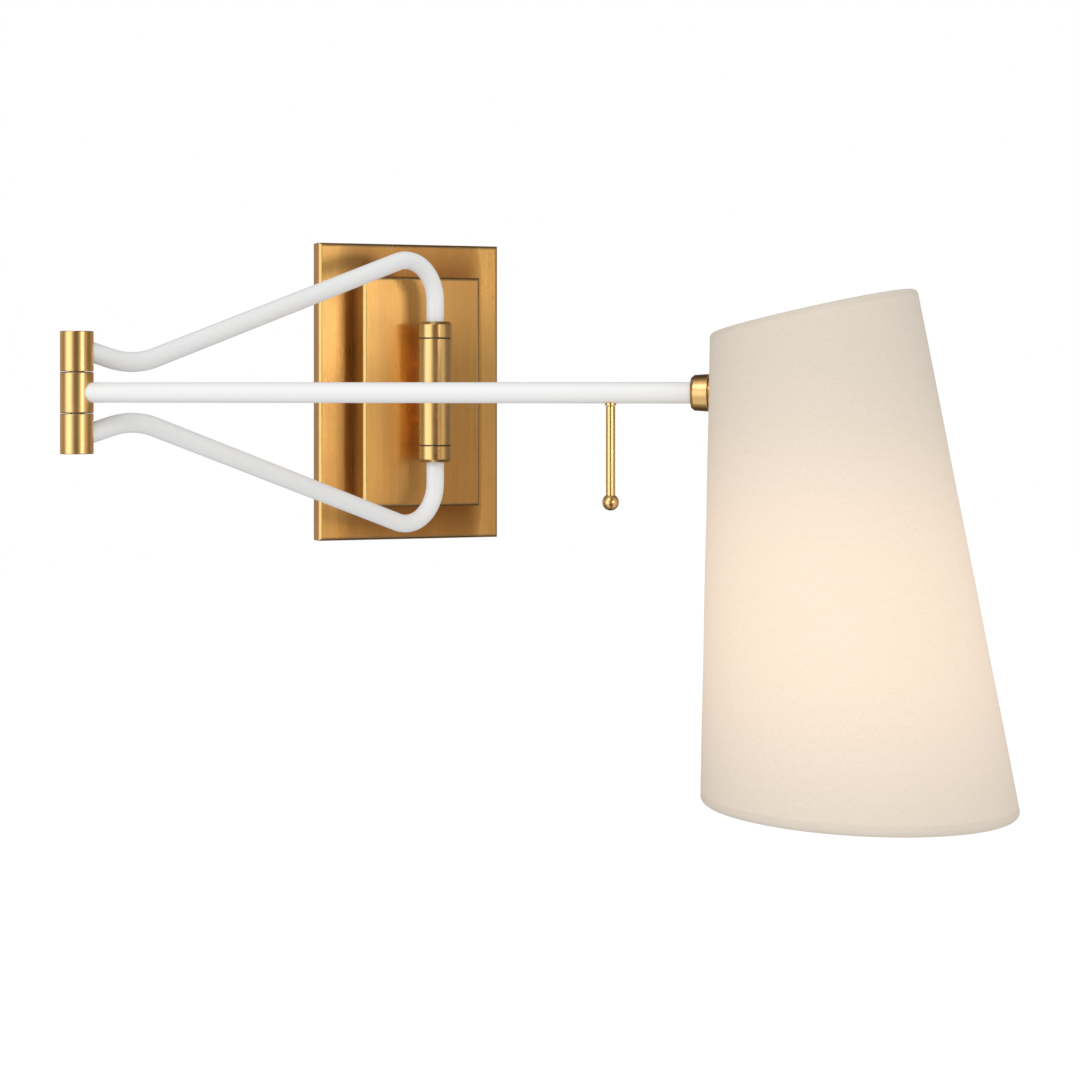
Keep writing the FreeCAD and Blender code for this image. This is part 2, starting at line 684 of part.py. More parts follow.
def pull_rod_ferrule():
    """Turned guide through the tube's underside; the pull rod's stem slides in it."""
    stem_r = PULL_STEM_R + RUNNING_GAP
    shoulder_z = -TUBE_BORE_R - FERRULE_STEP
    ferrule = turned([
        (stem_r, -TUBE_BORE_R), (FERRULE_NECK_R, -TUBE_BORE_R), (FERRULE_NECK_R, shoulder_z),
        (FERRULE_R, shoulder_z), (FERRULE_R, FERRULE_BOTTOM), (stem_r, FERRULE_BOTTOM)])
    tube_outside = rod(TUBE_R + SEAT_GAP, ALONG * -ANY_LENGTH, ALONG * ANY_LENGTH)
    neck = ring(FERRULE_NECK_R, stem_r, -TUBE_R - 2 * SEAT_GAP, -TUBE_BORE_R)
    return at_pull(ferrule.cut(tube_outside).fuse(neck))


def pull_switch_body():
    """Slim switch lying in the bottom half of the tube's bore; its return spring is sealed inside."""
    start = VECTOR(PULL_AT - SWITCH_LENGTH / 2, 0, 0)
    body = rod(TUBE_BORE_R - SEAT_GAP, start, start + ALONG * SWITCH_LENGTH)
    upper_half = box(ANY_LENGTH, 4 * TUBE_R, 4 * TUBE_R, VECTOR(PULL_AT, 0, 2 * TUBE_R + SWITCH_TOP))
    body = body.cut(upper_half)
    hole_end = VECTOR(PULL_AT, 0, PULL_STEM_TOP + FACE_GAP)
    plunger_hole = rod(PULL_STEM_R + 2 * RUNNING_GAP, VECTOR(PULL_AT, 0, -2 * TUBE_R), hole_end)
    return on_front_arm(body.cut(plunger_hole))


def pull_rod():
    """Rod that works the switch, with a thin stem up into it and a spigot for the ball."""
    spigot_z = PULL_BALL_Z - PULL_SPIGOT_REACH
    seat_z = PULL_BALL_Z + PULL_BALL_SEAT
    shape = turned([
        (0, PULL_STEM_TOP), (PULL_STEM_R, PULL_STEM_TOP), (PULL_STEM_R, PULL_ROD_TOP),
        (PULL_ROD_R, PULL_ROD_TOP), (PULL_ROD_R, seat_z), (PULL_SPIGOT_R, seat_z),
        (PULL_SPIGOT_R, spigot_z), (0, spigot_z)])
    return at_pull(shape)


def pull_ball():
    """Ball screwed on the pull rod's end."""
    centre = UP * PULL_BALL_Z
    top = centre + UP * 2 * PULL_BALL_R
    ball = Part.makeSphere(PULL_BALL_R, centre)
    ball = ball.cut(rod(PULL_SPIGOT_R + SEAT_GAP, centre - UP * (PULL_SPIGOT_REACH + SEAT_GAP), top))
    return at_pull(ball.cut(rod(PULL_ROD_R + SEAT_GAP, centre + UP * (PULL_BALL_SEAT - SEAT_GAP), top)))


def swivel_spindle():
    """Hollow spindle plugged into the tube's end; the hub turns on it."""
    nut_end = SWIVEL_SEAT_AT + FACE_GAP + SWIVEL_WASHER_T + SWIVEL_NUT_T + SPINDLE_PAST_NUT
    start = VECTOR(TUBE_END - SPINDLE_PLUG, 0, 0)
    face = VECTOR(SPINDLE_FACE_AT, 0, 0)
    flange_start = VECTOR(TUBE_END + SEAT_GAP, 0, 0)
    spindle = rod(TUBE_BORE_R - SEAT_GAP, start, flange_start)
    spindle = spindle.fuse(rod(TUBE_R, flange_start, face))
    spindle = spindle.fuse(rod(SPINDLE_R, face, VECTOR(nut_end, 0, 0)))
    return on_front_arm(spindle.cut(rod(SPINDLE_BORE_R, start, VECTOR(nut_end, 0, 0))))


def swivel_washer(outer_r, bore_r, start):
    """A washer about the front arm's axis, from a point along it."""
    low = ALONG * start
    return on_front_arm(pipe(outer_r, bore_r, low, low + ALONG * SWIVEL_WASHER_T))


def swivel_friction_washer():
    """Friction washer between the spindle's flange and the hub's boss."""
    start = HUB_AT - HUB_BOSS_REACH - SWIVEL_WASHER_T
    return swivel_washer(SWIVEL_WASHER_R, SPINDLE_R + RUNNING_GAP, start)


def swivel_spring_washer():
    """Spring washer on the spindle, inside the hub."""
    return swivel_washer(SPRING_WASHER_R, SPINDLE_R + SEAT_GAP, SWIVEL_SEAT_AT + FACE_GAP)


def swivel_nut():
    """Nut that sets the swivel's friction."""
    start = SWIVEL_SEAT_AT + FACE_GAP + SWIVEL_WASHER_T + SEAT_GAP
    return on_front_arm(nut(SWIVEL_NUT_FLATS, SPINDLE_R + SEAT_GAP, VECTOR(start, 0, 0), ALONG, SWIVEL_NUT_T))


def socket_hub():
    """Cup-shaped hub with a side boss for the spindle and a hole below for the nipple."""
    inner_r = HUB_R - HUB_WALL
    floor_z = HUB_BOTTOM + HUB_WALL
    cup = turned([
        (NIPPLE_R + SEAT_GAP, HUB_BOTTOM), (HUB_R, HUB_BOTTOM), (HUB_R, HUB_TOP), (inner_r, HUB_TOP),
        (inner_r, floor_z), (NIPPLE_R + SEAT_GAP, floor_z)])
    boss = rod(HUB_BOSS_R, VECTOR(-HUB_BOSS_REACH, 0, 0), VECTOR(-HUB_SEAT, 0, 0))
    cup = cup.fuse(boss)
    cup = cup.cut(rod(SPINDLE_R + RUNNING_GAP, VECTOR(-2 * HUB_R, 0, 0), VECTOR(0, 0, 0)))
    return at_hub(cup.removeSplitter())


def hub_cover():
    """Lid of the hub with the stud that the shade's spider sits on."""
    inner_r = HUB_R - HUB_WALL - SEAT_GAP
    low = HUB_TOP + SEAT_GAP
    high = low + HUB_COVER_T
    register_z = HUB_TOP - HUB_COVER_REGISTER
    cover = turned([
        (0, register_z), (inner_r, register_z), (inner_r, low), (HUB_R, low),
        (HUB_R, high - HUB_COVER_CHAMFER), (HUB_R - HUB_COVER_CHAMFER, high), (STUD_R, high),
        (STUD_R, high + STUD_LENGTH), (0, high + STUD_LENGTH)])
    return at_hub(cover)


def spider_nut():
    """Round blind nut that clamps the spider."""
    low = SPIDER_BASE_Z + SPIDER_WASHER_T + 2 * SEAT_GAP
    high = low + SPIDER_NUT_H
    stud_hole_r = STUD_R + SEAT_GAP
    stud_top = SPIDER_BASE_Z + STUD_LENGTH + SEAT_GAP
    shape = turned([
        (stud_hole_r, low), (SPIDER_NUT_R, low), (SPIDER_NUT_R, high - SPIDER_NUT_CHAMFER),
        (SPIDER_NUT_R - SPIDER_NUT_CHAMFER, high), (0, high), (0, stud_top), (stud_hole_r, stud_top)])
    return at_hub(shape)


def hub_nipple():
    """Threaded hollow nipple that joins the hub and the lamp holder."""
    high = HUB_BOTTOM + HUB_WALL + NIPPLE_NUT_T
    shape = ring(NIPPLE_R, NIPPLE_BORE_R, NIPPLE_BOTTOM, high)
    return at_hub(shape)


def nipple_nuts():
    """Nuts above and below the hub's floor, the lower one inside the socket's cap."""
    bore_r = NIPPLE_R + SEAT_GAP
    top = nut(NIPPLE_NUT_FLATS, bore_r, VECTOR(HUB_AT, 0, HUB_BOTTOM + HUB_WALL + SEAT_GAP), UP, NIPPLE_NUT_T)
    inside_z = HUB_BOTTOM - SOCKET_CAP_T - 2 * SEAT_GAP
    below = nut(NIPPLE_NUT_FLATS, bore_r, VECTOR(HUB_AT, 0, inside_z), DOWN, NIPPLE_NUT_T)
    return on_front_arm(Part.makeCompound([top, below]))


def socket_cap():
    """Conical metal cap over the lamp holder."""
    top = HUB_BOTTOM - SEAT_GAP
    inner_top = top - SOCKET_CAP_T
    skirt_top = SOCKET_CAP_BOTTOM + SOCKET_CAP_SKIRT
    skirt_inner_r = SOCKET_R - SOCKET_SKIN
    cap = turned([
        (NIPPLE_R + SEAT_GAP, top), (SOCKET_CAP_TOP_R, top), (SOCKET_R, skirt_top),
        (SOCKET_R, SOCKET_CAP_BOTTOM), (skirt_inner_r, SOCKET_CAP_BOTTOM), (skirt_inner_r, skirt_top),
        (SOCKET_CAP_TOP_R - SOCKET_SKIN, inner_top), (NIPPLE_R + SEAT_GAP, inner_top)])
    return at_hub(cap)


def socket_shell():
    """Metal sleeve round the lamp holder."""
    shape = ring(SOCKET_R, SOCKET_R - SOCKET_SKIN, SOCKET_BOTTOM, SOCKET_CAP_BOTTOM - SEAT_GAP)
    return at_hub(shape)


def socket_body():
    """Insulating body of the lamp holder."""
    body = turned([
        (0, SOCKET_BODY_TOP), (SOCKET_BODY_R - SOCKET_BODY_CHAMFER, SOCKET_BODY_TOP),
        (SOCKET_BODY_R, SOCKET_BODY_TOP - SOCKET_BODY_CHAMFER),
        (SOCKET_BODY_R, SOCKET_BOTTOM), (SOCKET_CAVITY_R, SOCKET_BOTTOM),
        (SOCKET_CAVITY_R, SOCKET_CAVITY_TOP), (0, SOCKET_CAVITY_TOP)])
    return at_hub(body)


def socket_screw_shell():
    """Thin sleeve that takes the lamp's base."""
    shape = ring(SCREW_SHELL_R, SCREW_SHELL_R - SCREW_SHELL_T, SCREW_SHELL_BOTTOM, SCREW_SHELL_TOP)
    return at_hub(shape)


def socket_contact():
    """Centre contact at the top of the lamp holder's cavity."""
    high = SOCKET_CAVITY_TOP - SEAT_GAP
    tip_z = high - CONTACT_REACH
    shape = turned([
        (0, high), (CONTACT_R, high), (CONTACT_R, high - CONTACT_T), (CONTACT_TIP_R, tip_z), (0, tip_z)])
    return at_hub(shape)


def lamp_base():
    """Metal base of the lamp, ringed where its thread is, with its end contact."""
    root_r = LAMP_BASE_R - LAMP_THREAD_DEPTH
    tip_z = LAMP_BASE_TOP + LAMP_TIP_RISE
    profile = [(0, tip_z), (LAMP_TIP_R, tip_z), (LAMP_SHOULDER_R, LAMP_BASE_TOP - LAMP_SHOULDER_DROP)]
    for turn in range(LAMP_THREAD_TURNS):
        z = LAMP_THREAD_TOP - turn * LAMP_THREAD_PITCH
        profile += [(root_r, z), (LAMP_BASE_R, z - LAMP_THREAD_PITCH / 2)]
    profile += [(root_r, LAMP_THREAD_TOP - LAMP_THREAD_TURNS * LAMP_THREAD_PITCH)]
    profile += [(root_r, LAMP_BASE_BOTTOM), (0, LAMP_BASE_BOTTOM)]
    base = turned(profile)
    return at_hub(base)


def bulb_profile(inset):
    """Outline of the lamp's glass, set in from its outside, as a closed face in the XZ plane."""
    globe = VECTOR(0, 0, LAMP_GLOBE_Z)
    radius = LAMP_GLOBE_R - inset
    neck_r = LAMP_NECK_R - inset
    neck_top = VECTOR(neck_r, 0, LAMP_BASE_BOTTOM - SEAT_GAP)
    neck_end = VECTOR(neck_r, 0, LAMP_BASE_BOTTOM - LAMP_NECK_LENGTH)
    flare_end = math.radians(LAMP_FLARE_END)
    shoulder = globe + VECTOR(math.cos(flare_end), 0, math.sin(flare_end)) * radius
    belly = globe + ALONG * radius
    tip = globe - UP * radius
    axis_top = VECTOR(0, 0, neck_top.z)
    flare = (neck_end + shoulder) * 0.5 + LAMP_FLARE_HOLLOW
    edges = [
        Part.LineSegment(axis_top, neck_top).toShape(),
        Part.LineSegment(neck_top, neck_end).toShape(),
        Part.Arc(neck_end, flare, shoulder).toShape(),
        Part.Arc(shoulder, belly, tip).toShape(),
        Part.LineSegment(tip, axis_top).toShape(),
    ]
    return Part.Face(Part.Wire(edges))


def lamp_glass():
    """Frosted glass envelope of the lamp, open at the neck."""
    outside = bulb_profile(0).revolve(ORIGIN, UP, 360)
    inside = bulb_profile(LAMP_GLASS_T).revolve(ORIGIN, UP, 360)
    glass = outside.cut(inside)
    return at_hub(glass)


def rim_normal(slant):
    """Upward normal of the plane of a rim."""
    tilt = math.radians(slant)
    return VECTOR(-math.sin(tilt), 0, math.cos(tilt))


def shade_cone(inset, stretch):
    """The shade's oblique cone, set in from its outside and stretched past both rims."""
    climb = SHADE_TOP - SHADE_BOTTOM
    taper = SHADE_TOP_R - SHADE_BOTTOM_R
    low_r = SHADE_BOTTOM_R - inset - stretch * taper
    high_r = SHADE_TOP_R - inset + stretch * taper
    low_circle = Part.makeCircle(low_r, SHADE_BOTTOM - climb * stretch, rim_normal(SHADE_BOTTOM_SLANT))
    high_circle = Part.makeCircle(high_r, SHADE_TOP + climb * stretch, rim_normal(SHADE_TOP_SLANT))
    return Part.makeLoft([Part.Wire(low_circle), Part.Wire(high_circle)], True, True)


def shade_skin(inset, thickness):
    """One layer of the shade, with the hole for the collar's neck."""
    layer = shade_cone(inset, 0).cut(shade_cone(inset + thickness, PAST_RIMS))
    neck_hole = rod(COLLAR_NECK_R + 2 * SEAT_GAP, VECTOR(COLLAR_START, 0, 0), VECTOR(HUB_AT, 0, 0))
    return on_front_arm(layer.cut(neck_hole))


def shade_fabric():
    """Outer linen cover of the shade."""
    return shade_skin(0, FABRIC_T)


def shade_lining():
    """Stiff translucent lining inside the linen."""
    return shade_skin(FABRIC_T + LINING_GAP, LINING_T)


def ring_inset():
    """How far a ring's wire centre lies inside the shade's outside."""
    return FABRIC_T + LINING_GAP + LINING_T + RING_WIRE_R + 3 * SEAT_GAP


def bottom_ring():
    """Wire ring inside the lower rim."""
    climb = SHADE_TOP - SHADE_BOTTOM
    share = RING_INSET / climb.z
    radius = SHADE_BOTTOM_R + share * (SHADE_TOP_R - SHADE_BOTTOM_R) - ring_inset()
    centre = SHADE_BOTTOM + climb * share
    return on_front_arm(Part.makeTorus(radius, RING_WIRE_R, centre, rim_normal(SHADE_BOTTOM_SLANT)))


def shade_spider():
    """Wire ring of the upper rim with three arms down to a washer on the hub."""
    normal = rim_normal(SHADE_TOP_SLANT)
    uphill = INTO_WALL.cross(normal)
    centre = SHADE_TOP - normal * RING_INSET
    radius = SHADE_TOP_R - ring_inset()
    spider = Part.makeTorus(radius, RING_WIRE_R, centre, normal)
    base_z = SPIDER_BASE_Z + SEAT_GAP
    hub = VECTOR(HUB_AT, 0, 0)
    washer = ring(SPIDER_WASHER_R, STUD_R + SEAT_GAP, base_z, base_z + SPIDER_WASHER_T)
    washer.translate(hub)
    spider = spider.fuse(washer)
    for angle in SPIDER_ARMS:
        turn = math.radians(angle)
        outward = uphill * math.cos(turn) + INTO_WALL * math.sin(turn)
        foot = hub + heading_vector(angle) * (SPIDER_WASHER_R - RING_WIRE_R) + UP * (base_z + RING_WIRE_R)
        spider = spider.fuse(rod(RING_WIRE_R, foot, centre + outward * radius))
    return on_front_arm(spider)


def shade_collar():
    """Turned collar outside the shade, with a threaded neck through its wall."""
    bore_r = TUBE_R + RUNNING_GAP
    profile = [
        (bore_r, COLLAR_START), (COLLAR_NOSE_R, COLLAR_START),
        (COLLAR_SHOULDER_R, COLLAR_START + COLLAR_NOSE), (COLLAR_R, COLLAR_END), (COLLAR_NECK_R, COLLAR_END),
        (COLLAR_NECK_R, COLLAR_NECK_END), (bore_r, COLLAR_NECK_END)]
    collar = turned(profile)
    collar.rotate(ORIGIN, VECTOR(0, 1, 0), 90)
    return on_front_arm(collar)


def collar_lock_ring():
    """Ring nut on the collar's neck, inside the shade."""
    start = VECTOR(LOCK_RING_START, 0, 0)
    return on_front_arm(pipe(LOCK_RING_R, COLLAR_NECK_R + SEAT_GAP, start, start + ALONG * LOCK_RING_T))


def mirrored_nodes():
    """Pairs of nodes whose lower piece is the upper one turned upside down."""
    cap = on_rear_arm(cap_shape())
    knuckle = at_elbow(upper_knuckle_shape())
    uppers = {
        "barrel_bush": upper_barrel_bush(),
        "thrust_washer": upper_thrust_washer(),
        "barrel_cap": cap,
        "knuckle": knuckle,
        "elbow_washer": upper_elbow_washer(),
    }
    nodes = {}
    for name, shape in uppers.items():
        nodes["upper_" + name] = shape
        nodes["lower_" + name] = upside_down(shape)
    return nodes


def all_nodes():
    """Every node of the sconce, by name."""
    nodes = {
        "backplate": backplate(),
        "raised_panel": raised_panel(),
        "panel_screws": panel_screws(),
        "mounting_bracket": mounting_bracket(),
        "plate_grub_screws": plate_grub_screws(),
        "ground_screw": ground_screw(),
        "upper_stand_off": stand_off(POST_SPACING / 2),
        "lower_stand_off": stand_off(-POST_SPACING / 2),
        "post_washers": post_washers(),
        "post_nuts": post_nuts(),
        "barrel": barrel(),
        "upper_arm_rod": upper_arm_rod(),
        "lower_arm_rod": lower_arm_rod(),
        "barrel_pivot_tube": barrel_pivot_tube(),
        "cap_set_screws": cap_set_screws(),
        "elbow_pivot_tube": elbow_pivot_tube(),
        "elbow_set_screws": elbow_set_screws(),
        "middle_knuckle": middle_knuckle(),
        "elbow_bush": elbow_bush(),
        "front_arm_tube": front_arm_tube(),
        "pull_rod_ferrule": pull_rod_ferrule(),
        "pull_switch_body": pull_switch_body(),
        "pull_rod": pull_rod(),
        "pull_ball": pull_ball(),
        "swivel_spindle": swivel_spindle(),
        "swivel_friction_washer": swivel_friction_washer(),
        "swivel_spring_washer": swivel_spring_washer(),
        "swivel_nut": swivel_nut(),
        "socket_hub": socket_hub(),
        "hub_cover": hub_cover(),
        "spider_nut": spider_nut(),
        "hub_nipple": hub_nipple(),
        "nipple_nuts": nipple_nuts(),
        "socket_cap": socket_cap(),
        "socket_shell": socket_shell(),
        "socket_body": socket_body(),
        "socket_screw_shell": socket_screw_shell(),
        "socket_contact": socket_contact(),
        "lamp_base": lamp_base(),
        "lamp_glass": lamp_glass(),
        "shade_fabric": shade_fabric(),
        "shade_lining": shade_lining(),
        "shade_spider": shade_spider(),
        "bottom_ring": bottom_ring(),
        "shade_collar": shade_collar(),
        "collar_lock_ring": collar_lock_ring(),
    }
    nodes.update(mirrored_nodes())
    return nodes


def main():
    os.makedirs("parts", exist_ok=True)
    for name, shape in all_nodes().items():
        shape.exportStep(os.path.join("parts", name + ".step"))


main()
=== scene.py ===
import json
import math

import bpy
from mathutils import Matrix, Vector, noise


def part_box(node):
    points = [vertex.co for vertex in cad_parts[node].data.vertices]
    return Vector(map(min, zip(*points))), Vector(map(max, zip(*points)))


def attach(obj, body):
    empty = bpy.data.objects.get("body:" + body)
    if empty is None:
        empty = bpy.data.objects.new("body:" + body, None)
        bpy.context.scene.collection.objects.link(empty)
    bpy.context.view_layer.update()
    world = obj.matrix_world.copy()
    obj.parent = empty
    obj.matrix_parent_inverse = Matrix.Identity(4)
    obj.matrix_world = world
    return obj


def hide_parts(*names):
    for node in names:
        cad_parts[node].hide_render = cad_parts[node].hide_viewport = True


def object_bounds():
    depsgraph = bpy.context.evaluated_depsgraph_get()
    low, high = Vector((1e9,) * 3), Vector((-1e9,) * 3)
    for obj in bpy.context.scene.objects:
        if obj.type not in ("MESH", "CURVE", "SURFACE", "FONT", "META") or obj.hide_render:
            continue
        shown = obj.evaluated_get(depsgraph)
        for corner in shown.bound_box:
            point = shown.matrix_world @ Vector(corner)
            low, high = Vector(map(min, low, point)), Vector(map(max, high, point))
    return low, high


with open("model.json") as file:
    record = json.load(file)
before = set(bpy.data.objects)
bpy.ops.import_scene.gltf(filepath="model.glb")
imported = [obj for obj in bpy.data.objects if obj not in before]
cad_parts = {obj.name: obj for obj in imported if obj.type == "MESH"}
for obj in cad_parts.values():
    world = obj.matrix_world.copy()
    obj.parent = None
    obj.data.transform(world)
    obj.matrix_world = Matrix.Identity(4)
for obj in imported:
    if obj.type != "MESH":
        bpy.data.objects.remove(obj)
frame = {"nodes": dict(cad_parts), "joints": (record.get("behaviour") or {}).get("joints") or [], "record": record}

# Swing arm wall sconce.  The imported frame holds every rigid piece; this script gives each slot
# its finish, builds the shade's sewn linen cover and its lining, and sets the light and camera.
# Metres and radians.  +X is to the right when facing the wall, +Y goes into the wall, +Z is up.

CAD_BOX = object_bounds()
JOINTS = {joint["name"]: joint for joint in frame["joints"]}
SLOT_OF_NODE = {row["node"]: row["material_slot"] for row in frame["record"]["subparts"]}

# The shade's hub at the end of the front arm, and the directions that the shade is built along
HUB = Vector(JOINTS["shade_tilt"]["pos_m"])
ARM = Vector(JOINTS["shade_tilt"]["axis"]).normalized()
UP = Vector((0, 0, 1))
ACROSS = UP.cross(ARM)

# The shade's outline: each rim's middle, radius and slant, measured on its outside
SHADE_BOTTOM_R = 0.0801
SHADE_TOP_R = 0.0532
SHADE_BOTTOM = HUB + ARM * 0.0168 + UP * -0.2085
SHADE_TOP = HUB + ARM * -0.0063 + UP * 0.0415
BOTTOM_SLANT = math.radians(-1.5)
TOP_SLANT = math.radians(11.9)
COLUMNS = 240               # mesh columns round the shade
WALL_ROWS = 72              # mesh rows up its wall

# The sewn cover
CLOTH = 0.0009              # the linen's thickness
HEM = 0.012                 # the turned-in cloth's length
FOLD_INSET = 0.0053         # from the outside of the wall to the middle of the turned-in hem
FOLD_GAP = 0.0002           # from a rim's plane to the fold
FOLD_STEPS = 8              # mesh steps round the fold
NOTCH_ARMS = [math.radians(degrees) for degrees in (60, 180, 300)]      # the spider's arms
NOTCH_HALF = math.radians(3.6)          # half the upper hem's gap at each of them
NOTCH_SLOPE = math.radians(1.4)         # how far the hem's end slopes beyond that
SEAM_AT = math.radians(112)             # the lapped seam, which is on the side away from the camera
SEAM_LAP = math.radians(8.5)
SEAM_EDGE = math.radians(0.5)
SEAM_RISE = 0.00045
SEAM_FADE = 0.55            # the share of the lap that is at its full rise
DRAPE = 0.00022             # how uneven the stretched cloth is
DRAPE_SCALE = 22.0          # cells per metre
PUCKER = 0.00016            # how deep its puckers are where it is turned in
PUCKERS_ROUND = 58
PUCKER_DRIFT = 2.5          # how far they wander from an even spacing, in radians of their wave
PUCKER_SCALE = 40.0

# The lining under it
LINING = 0.0005
LINING_INSET = 0.00155      # from the outside of the wall to the middle of the lining
LINING_SHORT = 0.0022       # how far the lining stops short of each rim

# The hole in both for the collar's neck
NECK_HOLE_R = 0.0073
NECK_HOLE_DEPTH = 0.05
NECK_REACH = 0.058          # from the hub to where the neck goes through the wall

# The linen's look
TWILL_STEP = 0.00135        # between the weave's diagonal lines, up the cloth
TWILL_SLOPE = 0.65          # how far a line falls for each metre round the shade
RIM_BAND = 0.0044           # the rolled lower rim's height, to the crease where the hem ends
TOP_BAND = 0.0026           # the same at the upper rim
BAND_SOFT = 0.0016          # how far the band's edge fades each way
CREASE_WIDTH = 0.0009
# Painted glow: emission standing for the lamp's light through the linen.
LINEN_PAINTED_GLOW = 0.265          # emission where the lamp's light is strongest

# The lamp inside the shade, and the glow painted on the linen around it
GLOW_AT = HUB + UP * -0.107
GLOW_HALF = 0.064           # height above and below it where the glow has fallen to 0.6
GLOW_POWER = 2.6            # more than 2 is flatter in the middle than a bell curve
LAMP_GLOW = 5.5

# The wall plate's darkening: patina with painted shade at the raised panel's foot, and painted shade over the
# panel's face
FOOT_DARKENING_REACH = 0.032        # how far it reaches above and below the raised panel's foot
FOOT_DARKENING_CORE = 0.002         # how much of that is at full depth
FOOT_DARKENING_NARROW = 3.0         # how many times less far it reaches beside the panel
DARKENING_WANDER = 0.003       # how far its outline wanders

# The studio as metal sees it: (heading in degrees, brightness).  Heading 0 is straight out from
# the wall and -90 is to the left along it.
STUDIO = [
    (-180, 0.12), (-150, 0.55), (-120, 0.32), (-100, 0.24),     # the dim room behind, on the left
    (-86, 1.40), (-66, 2.10), (-48, 1.50),                      # the tall softbox on the left
    (-37, 0.36), (-22, 0.12), (-7, 0.09), (4, 0.36),            # the dark gap beside it
    (12, 0.50), (20, 0.34), (30, 0.90), (40, 0.70),             # a faint strip, and the right softbox
    (54, 0.30), (80, 0.20), (108, 0.30), (134, 0.34), (158, 0.14), (180, 0.12),
]
STUDIO_TINT = (1.0, 0.80, 0.58)
PANEL_TINT = (1.0, 0.975, 0.94)
FLOOR_DROP = 0.45           # from the object's lowest point to the floor
FLOOR_SIZE = 14

# The camera
CAMERA_AT = (-0.4465, -1.4666, 0.0026)
CAMERA_HEADING = math.radians(-20.26)
CAMERA_LENS = 78.2
CAMERA_SHIFT = -0.141
SENSOR_WIDTH = 36


def colour(red, green, blue):
    return (red, green, blue, 1.0)


def dimmed(tint, share):
    """A colour with each channel times a share."""
    return colour(*[channel * share for channel in tint[:3]])


WHITE = colour(1.0, 1.0, 1.0)


class Wiring:
    """A node tree being wired: short calls for the nodes that the finishes and the world share."""

    def __init__(self, tree):
        self.tree = tree

    def add(self, kind, inputs=None, **settings):
        """A new node; an input is given a value, or a link from another node's output."""
        made = self.tree.nodes.new(kind)
        for key, value in settings.items():
            setattr(made, key, value)
        for key, value in (inputs or {}).items():
            self.feed(made.inputs[key], value)
        return made

    def feed(self, socket, value):
        if isinstance(value, bpy.types.NodeSocket):
            self.tree.links.new(value, socket)
        else:
            socket.default_value = value

    def math(self, operation, a, b=0.0, c=0.0):
        return self.add("ShaderNodeMath", {0: a, 1: b, 2: c}, operation=operation).outputs[0]

    def times(self, product, *factors):
        for factor in factors:
            product = self.math("MULTIPLY", product, factor)
        return product

    def span(self, value, low, high, to_low=0.0, to_high=1.0, **settings):
        """A value's range mapped to another, held at its ends."""
        inputs = {0: value, 1: low, 2: high, 3: to_low, 4: to_high}
        return self.add("ShaderNodeMapRange", inputs, **settings).outputs[0]

    def parts(self, vector):
        """A vector's X, Y and Z."""
        return self.add("ShaderNodeSeparateXYZ", {0: vector}).outputs

    def joined(self, x, y):
        return self.add("ShaderNodeCombineXYZ", {0: x, 1: y}).outputs[0]

    def vectors(self, operation, a, b):
        return self.add("ShaderNodeVectorMath", {0: a, 1: b}, operation=operation).outputs

    def dot(self, a, b):
        return self.vectors("DOT_PRODUCT", a, b)["Value"]


class Finish(Wiring):
    """A material being wired.  Its patterns follow object coordinates, which are the frame's metres."""

    def __init__(self, name):
        self.material = bpy.data.materials.new(name)
        self.material.use_nodes = True
        super().__init__(self.material.node_tree)
        self.surface = self.tree.nodes["Principled BSDF"]
        self.place = self.add("ShaderNodeTexCoord").outputs["Object"]

    def set(self, **values):
        """Set or wire sockets of the surface shader; spaces in their names are underscores."""
        for key, value in values.items():
            self.feed(self.surface.inputs[key.replace("_", " ")], value)

    def noise(self, scale, detail=3.0, roughness=0.55, place=None):
        """Noise from 0 to 1; the scale is in cells per metre along each axis."""
        stretched = self.vectors("MULTIPLY", place or self.place, scale)[0]
        inputs = {"Vector": stretched, "Scale": 1.0, "Detail": detail, "Roughness": roughness}
        return self.add("ShaderNodeTexNoise", inputs).outputs[0]

    def spread(self, pattern, to_low=0.0, to_high=1.0):
        """The range that most of a noise is in, mapped to another."""
        return self.span(pattern, 0.3, 0.7, to_low, to_high)

    def mix(self, share, a, b, blend="MIX"):
        inputs = {0: share, 6: a, 7: b}
        return self.add("ShaderNodeMix", inputs, data_type="RGBA", blend_type=blend).outputs[2]

    def bump(self, height, distance, strength=1.0, over=None):
        inputs = {"Height": height, "Distance": distance, "Strength": strength}
        if over is not None:
            inputs["Normal"] = over
        return self.add("ShaderNodeBump", inputs).outputs[0]

    def edges(self, radius):
        """1 on sharp edges and 0 away from them, and the normal with those edges rounded."""
        bevel = self.add("ShaderNodeBevel", {"Radius": radius}, samples=6).outputs[0]
        normal = self.add("ShaderNodeNewGeometry").outputs["Normal"]
        return self.span(self.dot(bevel, normal), 0.98, 0.90), bevel

    def worn(self, body, radius, share, bare):
        """A body colour rubbed to a bare one on its sharp edges."""
        return self.mix(self.times(self.edges(radius)[0], share), body, bare)


def beyond(make, value, half):
    """How far a coordinate is outside a middle band of the given half width."""
    return make.math("MAXIMUM", make.math("SUBTRACT", make.math("ABSOLUTE", value), half), 0.0)


